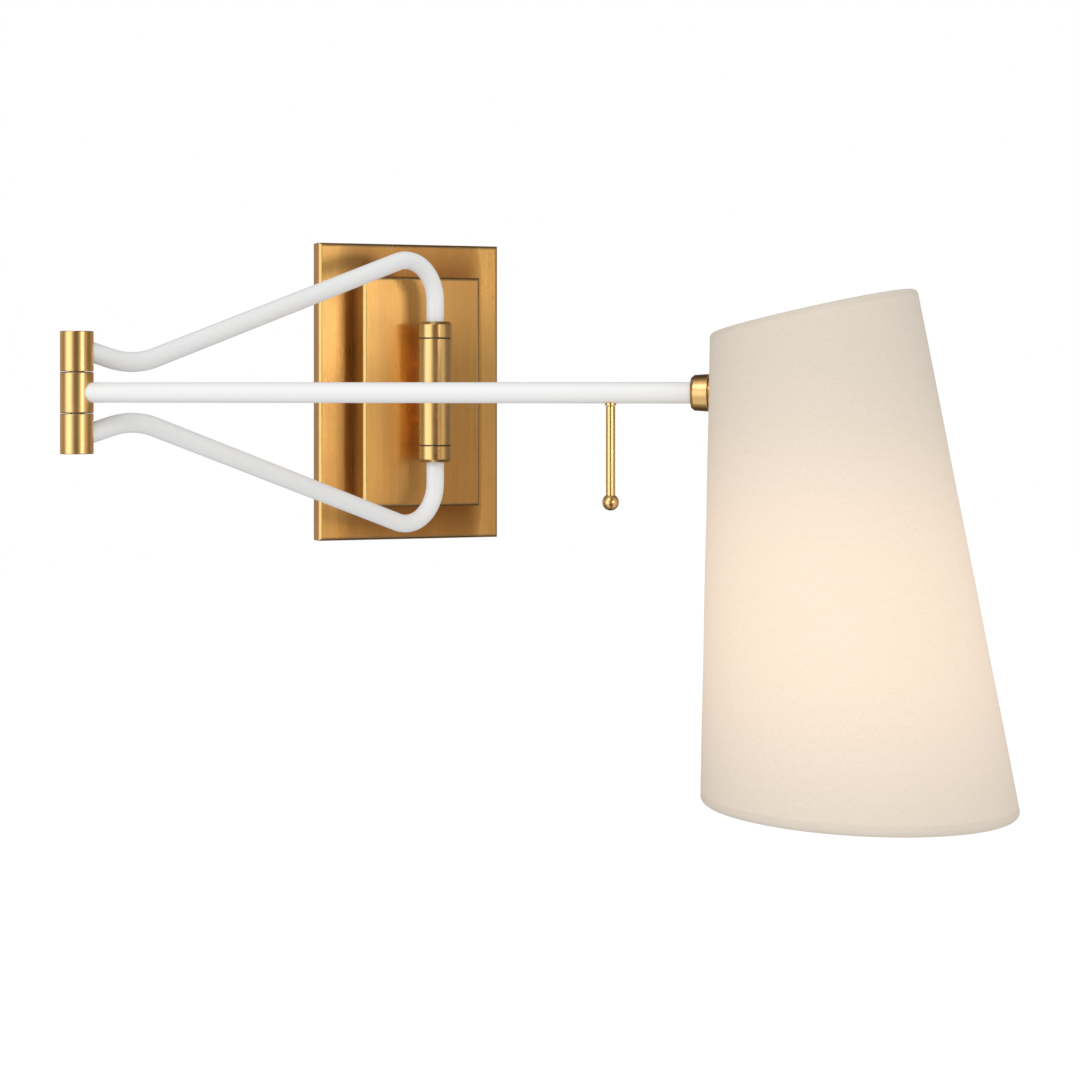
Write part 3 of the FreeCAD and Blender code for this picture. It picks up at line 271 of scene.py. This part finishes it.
def patina_and_shade_at_foot(make, parts, wander, panel, plate_face):
    """Dark patina and painted shade on the backplate where it meets the raised panel, held back at the plate's far
    left by a painted highlight.
    """
    low, high = panel
    beside = make.times(beyond(make, parts["X"], high[0]), FOOT_DARKENING_NARROW)
    above = beyond(make, make.math("ADD", parts["Z"], wander), high[2])
    away = make.math("SQRT", make.math("ADD", make.times(beside, beside), make.times(above, above)))
    near = make.math("POWER", make.span(away, FOOT_DARKENING_REACH, FOOT_DARKENING_CORE), 0.5)
    # Painted highlight: the darkening is held back towards the plate's far left.
    left_margin = make.span(parts["X"], -0.058, -0.030, 0.35, 1.0)
    depth = make.span(parts["Y"], low[1] + 0.010, plate_face)
    return make.times(near, left_margin, depth)


def painted_shade_on_face(make, parts, wander, panel, plate_face):
    """Painted shade over the raised panel's face, growing to the right and towards its ends."""
    low, high = panel
    across = make.span(make.math("ADD", parts["X"], wander), low[0], low[0] + 0.05, 0.0, 0.38)
    ends = make.span(make.math("ABSOLUTE", parts["Z"]), 0.0, high[2], 0.7, 1.2)
    front = make.span(parts["Y"], plate_face, low[1] + 0.003)
    return make.times(across, ends, front)


def patina_and_painted_shade(make):
    """The wall plate's darkening: patina and painted shade at the raised panel's foot, and painted shade over its
    face.
    """
    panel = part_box("raised_panel")
    plate_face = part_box("backplate")[0][1]
    parts = make.parts(make.place)
    wander = make.spread(make.noise((40, 40, 22)), -DARKENING_WANDER, DARKENING_WANDER)
    foot = patina_and_shade_at_foot(make, parts, wander, panel, plate_face)
    face = painted_shade_on_face(make, parts, wander, panel, plate_face)
    return make.math("MAXIMUM", foot, face)


def brass(name, bright, deep, grain, roughness, edge_r, age=1.0, anisotropy=0.0, plate_patina_and_shade=False):
    """Lacquered antique brass with an upright brushed grain, mottled patina, and bright edges that are partly wear
    and partly a painted highlight.

    grain: how fine the brushing is, against the wall plate's.
    age: how far the brown spots and the bright edges (rubbed brass, and a painted highlight) show. The last flag
    says whether it has the wall plate's dark patina and painted shade."""
    make = Finish(name)
    fine = make.noise((2600 * grain, 2600 * grain, 36), detail=2.0)
    broad = make.noise((330 * grain, 330 * grain, 9))
    patina = make.noise((26, 26, 15), detail=5.0, roughness=0.6)
    spots = make.noise((210, 210, 190), detail=4.0, roughness=0.7)
    tone = make.math("MULTIPLY_ADD", fine, 0.34, make.times(broad, 0.46))
    tone = make.math("MULTIPLY_ADD", patina, 0.55, tone)
    body = make.mix(make.span(tone, 0.45, 0.92), deep, bright)
    if plate_patina_and_shade:
        # Patina and painted shade on the wall plate, in one dark brown.
        body = make.mix(patina_and_painted_shade(make), body, colour(0.33, 0.145, 0.038))
    stained = make.mix(make.span(spots, 0.60, 0.82, 0.0, 0.45 * age), body, colour(0.42, 0.22, 0.07))
    edge, rounded = make.edges(edge_r)
    # Bright edges: rubbed brass, and a painted highlight where the edges catch the light.
    worn = make.mix(make.times(edge, age), stained, colour(1.0, 0.88, 0.56))
    rough = make.spread(patina, roughness - 0.05, roughness + 0.05)
    rough = make.math("MULTIPLY_ADD", fine, 0.12, rough)
    grooves = make.bump(fine, 0.00002, 0.5, over=rounded)
    dents = make.bump(broad, 0.00004, 0.4, over=grooves)
    make.set(Base_Color=worn, Metallic=1.0, Roughness=rough, Normal=dents, Anisotropic=anisotropy,
             Coat_Weight=0.12, Coat_Roughness=0.22)
    if anisotropy:
        make.set(Tangent=make.joined(0.95, 0.31))
    return make.material


def enamel(name, tint):
    """Semi-matt sprayed enamel with a faint orange peel and dust in the gloss."""
    make = Finish(name)
    peel = make.noise((950, 950, 950), detail=2.0)
    drift = make.noise((18, 18, 18), detail=4.0)
    scuff = make.noise((420, 420, 420), detail=5.0, roughness=0.7)
    body = make.mix(make.spread(drift), dimmed(tint, 0.975), tint)
    body = make.mix(make.span(scuff, 0.66, 0.80, 0.0, 0.16), body, colour(0.62, 0.60, 0.57))
    make.set(Base_Color=body, Roughness=make.span(scuff, 0.25, 0.75, 0.34, 0.48),
             Normal=make.bump(peel, 0.00003, 0.6), Coat_Weight=0.15, Coat_Roughness=0.30)
    return make.material


def plated_steel(name, tint, roughness):
    """Zinc or nickel plate: spangled, slightly uneven in gloss."""
    make = Finish(name)
    spangle = make.add("ShaderNodeTexVoronoi", {"Vector": make.place, "Scale": 700.0}).outputs["Color"]
    cloud = make.noise((90, 90, 90), detail=5.0)
    body = make.mix(make.span(cloud, 0.3, 0.72), dimmed(tint, 0.72), tint)
    body = make.mix(0.10, body, spangle, blend="OVERLAY")
    body = make.worn(body, radius=0.0005, share=0.5, bare=colour(0.86, 0.86, 0.85))
    make.set(Base_Color=body, Metallic=1.0, Roughness=make.spread(cloud, roughness - 0.08, roughness + 0.10),
             Normal=make.bump(cloud, 0.00004, 0.5))
    return make.material


def dyed_screw(name):
    """Green dyed plating, rubbed bare on its edges."""
    make = Finish(name)
    cloud = make.noise((400, 400, 400), detail=4.0)
    body = make.mix(make.spread(cloud), colour(0.02, 0.16, 0.05), colour(0.05, 0.33, 0.11))
    body = make.worn(body, radius=0.0004, share=0.8, bare=colour(0.60, 0.60, 0.52))
    make.set(Base_Color=body, Metallic=0.75, Roughness=make.spread(cloud, 0.28, 0.42),
             Normal=make.bump(cloud, 0.00003, 0.5))
    return make.material


def sintered_bronze(name):
    """Oiled bearing bronze with dark pores."""
    make = Finish(name)
    pores = make.noise((3200, 3200, 3200), detail=2.0)
    cloud = make.noise((120, 120, 120), detail=4.0)
    body = make.mix(make.spread(cloud), colour(0.30, 0.16, 0.06), colour(0.48, 0.29, 0.12))
    body = make.mix(make.span(pores, 0.62, 0.72), body, colour(0.06, 0.03, 0.015))
    make.set(Base_Color=body, Metallic=0.9, Roughness=make.spread(pores, 0.42, 0.62),
             Normal=make.bump(pores, 0.00005, 0.8))
    return make.material


def moulded(name, tint, grain):
    """Moulded black plastic with a fine spark-eroded grain, in cells per metre."""
    make = Finish(name)
    texture = make.noise((grain, grain, grain))
    cloud = make.noise((60, 60, 60), detail=4.0)
    body = make.mix(make.spread(cloud), tint, dimmed(tint, 1.7))
    body = make.worn(body, radius=0.0005, share=0.4, bare=colour(0.16, 0.15, 0.14))
    make.set(Base_Color=body, Roughness=make.spread(texture, 0.40, 0.60),
             Normal=make.bump(texture, 0.00004, 0.7))
    return make.material


def shade_coordinates(make):
    """Distance round the shade, height, and both as one vector, from a point's place on it."""
    middle = (SHADE_BOTTOM + SHADE_TOP) / 2
    parts = make.parts(make.vectors("SUBTRACT", make.place, middle)[0])
    turn = make.math("ARCTAN2", parts["Y"], parts["X"])
    along = make.times(turn, (SHADE_BOTTOM_R + SHADE_TOP_R) / 2)
    return along, parts["Z"], make.joined(along, parts["Z"])


def painted_lamp_glow(make):
    """The lamp's light on the shade, painted as a glow: 1 level with the lamp, falling off above and below it."""
    height = make.math("SUBTRACT", make.parts(make.place)["Z"], GLOW_AT.z)
    away = make.math("DIVIDE", make.math("ABSOLUTE", height), GLOW_HALF)
    return make.math("EXPONENT", make.times(make.math("POWER", away, GLOW_POWER), -0.5))


def rim_distance(make, centre, slant):
    """How far a point is from a rim's plane."""
    square = UP * math.cos(slant) - ARM * math.sin(slant)
    offset = make.vectors("SUBTRACT", make.place, centre)[0]
    return make.math("ABSOLUTE", make.dot(offset, square))


def rolled_rims(make, threads):
    """1 on the band of doubled cloth at each rim, and 1 along the crease where the band ends."""
    low_rim = rim_distance(make, SHADE_BOTTOM, BOTTOM_SLANT)
    high_rim = rim_distance(make, SHADE_TOP, TOP_SLANT)
    rim = make.math("MINIMUM", low_rim, make.math("ADD", high_rim, RIM_BAND - TOP_BAND))
    rim = make.math("MULTIPLY_ADD", threads, 0.0010, rim)
    band = make.span(rim, RIM_BAND + BAND_SOFT, RIM_BAND - BAND_SOFT)
    from_crease = make.times(make.math("SUBTRACT", rim, RIM_BAND), 1 / CREASE_WIDTH)
    crease = make.math("EXPONENT", make.times(from_crease, from_crease, -1.0))
    return band, crease


def linen(name):
    """Fine linen, with the lamp's light through it painted on as a warm glow: slubbed threads, a diagonal twill
    line and weave gaps.
    """
    make = Finish(name)
    along, height, flat = shade_coordinates(make)
    weft = make.noise((260, 3000, 1), detail=1.0, place=flat)
    warp = make.noise((3000, 300, 1), detail=1.0, place=flat)
    slub = make.noise((30, 700, 1), detail=2.0, place=flat)
    cloud = make.noise((14, 14, 14), detail=4.0)
    climb = make.math("ADD", height, make.times(cloud, 0.004))
    slope = make.math("MULTIPLY_ADD", along, TWILL_SLOPE, climb)
    twill = make.math("SINE", make.times(slope, 2 * math.pi / TWILL_STEP))
    threads = make.math("MULTIPLY_ADD", weft, 0.5, make.times(warp, 0.5))
    cloth = make.math("MULTIPLY_ADD", twill, 0.16, threads)
    weight = make.math("MULTIPLY_ADD", slub, 0.18, cloth)
    band, crease = rolled_rims(make, threads)

    body = make.mix(make.span(weight, 0.30, 0.90), colour(0.655, 0.575, 0.480), colour(0.755, 0.680, 0.590))
    body = make.mix(make.span(cloud, 0.35, 0.65, 0.0, 0.35), body, colour(0.695, 0.620, 0.530))
    body = make.mix(make.times(band, 0.5), body, colour(0.60, 0.56, 0.48))
    # Painted shade along the crease where the hem ends.
    body = make.mix(make.times(crease, 0.06), body, colour(0.45, 0.38, 0.30))
    # Painted glow: emission standing for the lamp's light through the cloth, varying with the threads and weaker
    # on the doubled rims.
    lit = make.times(painted_lamp_glow(make), make.span(weight, 0.30, 0.90, 0.93, 1.06))
    lit = make.times(lit, make.span(band, 0.0, 1.0, 1.0, 0.7), LINEN_PAINTED_GLOW)
    weave = make.bump(cloth, 0.00012, make.span(band, 0.0, 1.0, 0.6, 0.9))
    make.set(Base_Color=body, Roughness=make.span(cloth, 0.3, 0.8, 0.82, 0.96), Specular_IOR_Level=0.2,
             Normal=make.bump(crease, -0.00025, 0.5, over=weave), Sheen_Weight=0.08, Sheen_Roughness=0.5,
             Emission_Color=colour(1.0, 0.66, 0.42), Emission_Strength=lit)
    return make.material


def lining_film(name):
    """Stiff milky film with a faint calendered texture."""
    make = Finish(name)
    _, _, flat = shade_coordinates(make)
    streak = make.noise((60, 700, 1), detail=2.0, place=flat)
    cloud = make.noise((40, 40, 40), detail=4.0)
    body = make.mix(make.spread(cloud), colour(0.80, 0.76, 0.68), colour(0.87, 0.83, 0.75))
    make.set(Base_Color=body, Roughness=make.spread(streak, 0.44, 0.60),
             Normal=make.bump(streak, 0.00006, 0.5))
    return make.material


def frosted_lamp(name):
    """Frosted lamp glass, lit: hottest low on the globe, duller at the neck."""
    make = Finish(name)
    frost = make.noise((1500, 1500, 1500), detail=2.0)
    height = make.parts(make.place)["Z"]
    heat = make.span(height, GLOW_AT.z + 0.050, GLOW_AT.z + 0.010, 0.25, 1.0)
    lit = make.times(heat, LAMP_GLOW, make.span(frost, 0.2, 0.8, 0.94, 1.06))
    make.set(Base_Color=make.mix(frost, colour(0.90, 0.88, 0.84), colour(0.96, 0.95, 0.92)),
             Roughness=make.spread(frost, 0.40, 0.60), Normal=make.bump(frost, 0.00003, 0.6),
             Emission_Color=colour(1.0, 0.80, 0.56), Emission_Strength=lit)
    return make.material


FINISHES = {
    "brushed_brass": brass("brushed_brass_finish", bright=colour(0.96, 0.59, 0.205),
                           deep=colour(0.78, 0.41, 0.11), grain=1.0, roughness=0.25, edge_r=0.0016,
                           anisotropy=0.3, plate_patina_and_shade=True),
    "polished_brass": brass("satin_brass_finish", bright=colour(0.97, 0.68, 0.31),
                            deep=colour(0.86, 0.51, 0.18), grain=1.3, roughness=0.24, edge_r=0.0004,
                            age=0.3),
    "white_paint": enamel("white_enamel_finish", colour(0.838, 0.840, 0.842)),
    "white_wire": enamel("white_wire_finish", colour(0.80, 0.79, 0.75)),
    "zinc_steel": plated_steel("zinc_finish", colour(0.62, 0.63, 0.64), roughness=0.38),
    "nickel_shell": plated_steel("nickel_finish", colour(0.74, 0.72, 0.68), roughness=0.26),
    "green_screw": dyed_screw("green_screw_finish"),
    "bronze": sintered_bronze("bronze_finish"),
    "dark_washer": moulded("washer_finish", colour(0.025, 0.022, 0.020), grain=1500),
    "black_plastic": moulded("phenolic_finish", colour(0.030, 0.027, 0.025), grain=2400),
    "linen": linen("linen_finish"),
    "lining": lining_film("lining_finish"),
    "frosted_glass": frosted_lamp("lamp_glass_finish"),
}


def finish_cad_nodes():
    """Put each CAD node's finish in its material slots."""
    for name, node in frame["nodes"].items():
        material = FINISHES[SLOT_OF_NODE[name]]
        if not node.material_slots:
            node.data.materials.append(material)
        for slot in node.material_slots:
            slot.material = material


def rim_point(centre, radius, slant, turn):
    """A point on a rim: turn 0 is the side away from the arm, where a positive slant is highest."""
    outward = ARM * math.cos(slant) + UP * math.sin(slant)
    return centre + (outward * math.cos(turn) + ACROSS * math.sin(turn)) * radius


def wall_point(turn, share):
    """A point on the outside of the shade: share 0 is the lower rim, 1 is the upper rim."""
    low = rim_point(SHADE_BOTTOM, SHADE_BOTTOM_R, BOTTOM_SLANT, turn)
    high = rim_point(SHADE_TOP, SHADE_TOP_R, TOP_SLANT, turn)
    return low.lerp(high, share)


def wall_frame(turn):
    """Lower rim point, slant length, slant direction and outward normal of the wall at a turn."""
    low = wall_point(turn, 0.0)
    rise = wall_point(turn, 1.0) - low
    step = 0.001
    round_wall = wall_point(turn + step, 0.5) - wall_point(turn - step, 0.5)
    return low, rise.length, rise.normalized(), round_wall.cross(rise).normalized()


def smooth(value, low, high):
    """0 below low, 1 above high, and an S curve between them."""
    share = min(1.0, max(0.0, (value - low) / (high - low)))
    return share * share * (3 - 2 * share)


def angle_from(turn, other):
    """The unsigned angle between two turns."""
    return abs((turn - other + math.pi) % (2 * math.pi) - math.pi)


def seam_lift(turn):
    """How far the lapped seam stands proud at a turn."""
    past = (turn - SEAM_AT) % (2 * math.pi)
    step_up = smooth(past, 0.0, SEAM_EDGE)
    fade = 1 - smooth(past, SEAM_LAP * SEAM_FADE, SEAM_LAP)
    return SEAM_RISE * step_up * fade


def hem_length(turn, top):
    """The turned-in hem's length; the upper one is notched where the spider's arms come through."""
    if not top:
        return HEM
    nearest = min(angle_from(turn, arm) for arm in NOTCH_ARMS)
    return HEM * smooth(nearest, NOTCH_HALF, NOTCH_HALF + NOTCH_SLOPE)


def cover_section(turn, length):
    """Middle line of the cloth at a turn, from the lower hem's end round the wall to the upper hem's.

    Each point is (height up the slant, inset from the outside)."""
    outer = CLOTH / 2
    fold_r = (FOLD_INSET - outer) / 2
    fold_z = fold_r + FOLD_GAP
    middle = outer + fold_r
    turned_in = []
    for end, inward in ((0.0, 1), (length, -1)):
        hem = hem_length(turn, top=inward < 0)
        line = [(end + inward * (fold_z + hem * part), FOLD_INSET) for part in (1.0, 0.66, 0.33)]
        for step in range(FOLD_STEPS + 1):
            bend = math.pi * step / FOLD_STEPS
            line.append((end + inward * (fold_z - fold_r * math.sin(bend)), middle + fold_r * math.cos(bend)))
        turned_in.append(line)
    climb = length - 2 * fold_z
    wall = [(fold_z + climb * (row + 1) / (WALL_ROWS + 1), outer) for row in range(WALL_ROWS)]
    return turned_in[0] + wall + turned_in[1][::-1]


def lining_section(turn, length):
    """Middle line of the lining: the wall only, short of both rims."""
    climb = length - 2 * LINING_SHORT
    return [(LINING_SHORT + climb * row / WALL_ROWS, LINING_INSET) for row in range(WALL_ROWS + 1)]


def ripple(point, turn, inset):
    """Small unevenness of stretched cloth, with puckers where it is turned in."""
    drape = noise.noise(point * DRAPE_SCALE) * DRAPE
    pucker = math.sin(turn * PUCKERS_ROUND + PUCKER_DRIFT * noise.noise(point * PUCKER_SCALE)) * PUCKER
    return drape + pucker * smooth(inset, CLOTH, FOLD_INSET)


def sheet_turns(sewn):
    """The turns of a sheet's columns, with more where a sewn one steps up at its seam."""
    turns = [2 * math.pi * column / COLUMNS for column in range(COLUMNS)]
    if sewn:
        turns += [SEAM_AT + SEAM_EDGE * share for share in (-0.2, 0.5, 1.0)]
    return sorted(turns)


def sheet_column(turn, section_at, thickness, sewn):
    """The outside and inside points of a sheet at a turn, along its middle line there."""
    low, length, rise, out = wall_frame(turn)
    line = section_at(turn, length)
    last = len(line) - 1
    outside = []
    inside = []
    for index, (height, inset) in enumerate(line):
        before = line[max(index - 1, 0)]
        after = line[min(index + 1, last)]
        tangent = Vector((after[1] - before[1], after[0] - before[0])).normalized()
        side = Vector((-tangent.y, tangent.x))
        centre = low + rise * height - out * inset
        offset = ripple(centre, turn, inset) if sewn else 0.0
        raised = seam_lift(turn) * (1 - smooth(inset, CLOTH, FOLD_INSET)) if sewn else 0.0
        across = (out * -side.x + rise * side.y) * (thickness / 2)
        push = out * offset
        outside.append(centre + across + push + out * raised)
        inside.append(centre - across + push)
    return outside, inside


def sheet_faces(columns, rows):
    """A closed sheet's quads: both its sides and the strip along each end."""
    inner = rows * columns
    last = rows - 1
    faces = []
    for column in range(columns):
        here = column * rows
        there = ((column + 1) % columns) * rows
        for row in range(last):
            quad = (here + row, there + row, there + row + 1, here + row + 1)
            faces.append(quad)
            faces.append(tuple(inner + corner for corner in reversed(quad)))
        faces.append((here, inner + here, inner + there, there))
        faces.append((there + last, inner + there + last, inner + here + last, here + last))
    return faces


def sheet_mesh(name, section_at, thickness, sewn):
    """A closed thin sheet round the shade, from its middle line at each turn."""
    columns = [sheet_column(turn, section_at, thickness, sewn) for turn in sheet_turns(sewn)]
    outside = [point for column, _ in columns for point in column]
    inside = [point for _, column in columns for point in column]
    faces = sheet_faces(len(columns), len(outside) // len(columns))
    mesh = bpy.data.meshes.new(name)
    mesh.from_pydata([tuple(point) for point in outside + inside], [], faces)
    mesh.validate()
    mesh.polygons.foreach_set("use_smooth", [True] * len(mesh.polygons))
    piece = bpy.data.objects.new(name, mesh)
    bpy.context.scene.collection.objects.link(piece)
    return piece


def cut_neck_hole(piece):
    """Cut the hole that the collar's neck goes through."""
    bpy.ops.mesh.primitive_cylinder_add(vertices=48, radius=NECK_HOLE_R, depth=NECK_HOLE_DEPTH)
    cutter = bpy.context.object
    along_arm = ARM.to_track_quat("Z", "Y").to_matrix().to_4x4()
    cutter.matrix_world = Matrix.Translation(HUB - ARM * NECK_REACH) @ along_arm
    cut = piece.modifiers.new("neck_hole", "BOOLEAN")
    cut.operation = "DIFFERENCE"
    cut.solver = "EXACT"
    cut.object = cutter
    bpy.context.view_layer.update()
    evaluated = piece.evaluated_get(bpy.context.evaluated_depsgraph_get())
    piece.data = bpy.data.meshes.new_from_object(evaluated)
    piece.modifiers.clear()
    bpy.data.objects.remove(cutter)


def make_shade():
    """The linen cover over both rings, and the stiff lining under it."""
    cover = sheet_mesh("linen_cover", cover_section, CLOTH, sewn=True)
    film = sheet_mesh("lining_film", lining_section, LINING, sewn=False)
    for piece, slot, node in ((cover, "linen", "shade_fabric"), (film, "lining", "shade_lining")):
        cut_neck_hole(piece)
        piece.data.materials.clear()
        piece.data.materials.append(FINISHES[slot])
        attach(piece, "shade_head")
        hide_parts(node)


def make_floor():
    """A wide pale floor below the sconce."""
    bpy.ops.mesh.primitive_plane_add(size=FLOOR_SIZE, location=(0, 0, CAD_BOX[0].z - FLOOR_DROP))
    floor = bpy.context.object
    floor.name = "floor"
    make = Finish("floor_finish")
    cloud = make.noise((2, 2, 2), detail=4.0)
    make.set(Base_Color=make.mix(cloud, colour(0.80, 0.80, 0.80), colour(0.83, 0.83, 0.83)), Roughness=0.8,
             Emission_Color=WHITE, Emission_Strength=0.42)
    floor.data.materials.append(make.material)
    floor.visible_glossy = False
    floor.visible_diffuse = False


def fill_studio_ramp(ramp):
    """Brightness round the studio; the dimmer a part is, the warmer."""
    ramp.interpolation = "EASE"
    while len(ramp.elements) > 1:
        ramp.elements.remove(ramp.elements[-1])
    for index, (degrees, level) in enumerate(STUDIO):
        position = (degrees + 180) / 360
        element = ramp.elements[0] if index == 0 else ramp.elements.new(position)
        element.position = position
        dimness = max(0.0, 1.0 - level)
        element.color = colour(*[level * (1 - dimness * (1 - tint)) for tint in STUDIO_TINT])


def make_world():
    """A white surround; metal sees a dim warm studio with tall soft panels in it."""
    world = bpy.data.worlds.new("studio")
    bpy.context.scene.world = world
    world.use_nodes = True
    world.cycles.sampling_method = "NONE"
    world.node_tree.nodes.clear()
    make = Wiring(world.node_tree)

    def background(tint, strength):
        return make.add("ShaderNodeBackground", {"Color": tint, "Strength": strength}).outputs[0]

    def either(share, without, with_it):
        return make.add("ShaderNodeMixShader", {0: share, 1: without, 2: with_it}).outputs[0]

    towards = make.parts(make.add("ShaderNodeTexCoord").outputs["Generated"])
    heading = make.math("ARCTAN2", towards["X"], make.times(towards["Y"], -1.0))
    ramp = make.add("ShaderNodeValToRGB", {0: make.span(heading, -math.pi, math.pi)})
    fill_studio_ramp(ramp.color_ramp)
    steep = make.math("ABSOLUTE", towards["Z"])
    level_band = make.span(steep, 0.12, 0.50, 1.0, 0.48, interpolation_type="SMOOTHSTEP")
    studio = background(ramp.outputs[0], level_band)

    sky = make.span(towards["Z"], -1.0, 1.0, 0.93, 1.0)
    out_of_wall = make.span(towards["Y"], -0.1, 0.9, 1.0, 0.30)
    from_left = make.span(towards["X"], -1.0, 1.0, 1.09, 0.91)
    soft = background(WHITE, make.times(sky, out_of_wall, from_left))

    path = make.add("ShaderNodeLightPath").outputs
    bounced = either(path["Is Glossy Ray"], soft, studio)
    seen = either(path["Is Camera Ray"], bounced, background(WHITE, 1.0))
    make.add("ShaderNodeOutputWorld", {"Surface": seen})


def make_panel_light(name, place, target, width, height, power, diffuse):
    """A rectangular softbox that faces a target."""
    data = bpy.data.lights.new(name, "AREA")
    data.shape = "RECTANGLE"
    data.size = width
    data.size_y = height
    data.energy = power
    data.color = PANEL_TINT
    lamp = bpy.data.objects.new(name, data)
    lamp.location = place
    lamp.rotation_mode = "QUATERNION"
    lamp.rotation_quaternion = (Vector(target) - Vector(place)).to_track_quat("-Z", "Y")
    lamp.visible_camera = False
    lamp.visible_diffuse = diffuse
    bpy.context.scene.collection.objects.link(lamp)


def make_lights():
    """A large key light high on the left, and a small one that only puts a glint on gloss."""
    make_panel_light("key_panel", place=(-1.5, -1.7, 1.7), target=(0, -0.15, 0), width=1.4, height=1.0,
                     power=10, diffuse=True)
    make_panel_light("front_panel", place=(0.20, -1.0, 0.0), target=(0, 0, 0), width=0.20, height=0.20,
                     power=0.74, diffuse=False)


def make_camera():
    """The photograph's view: a level camera, with its frame shifted instead of tilted."""
    data = bpy.data.cameras.new("camera")
    data.lens = CAMERA_LENS
    data.sensor_width = SENSOR_WIDTH
    data.shift_y = CAMERA_SHIFT
    camera = bpy.data.objects.new("camera", data)
    camera.location = CAMERA_AT
    camera.rotation_euler = (math.pi / 2, 0, CAMERA_HEADING)
    bpy.context.scene.collection.objects.link(camera)
    bpy.context.scene.camera = camera


make_camera()
finish_cad_nodes()
make_shade()
make_floor()
make_world()
make_lights()
bpy.context.scene.view_settings.view_transform = "Standard"
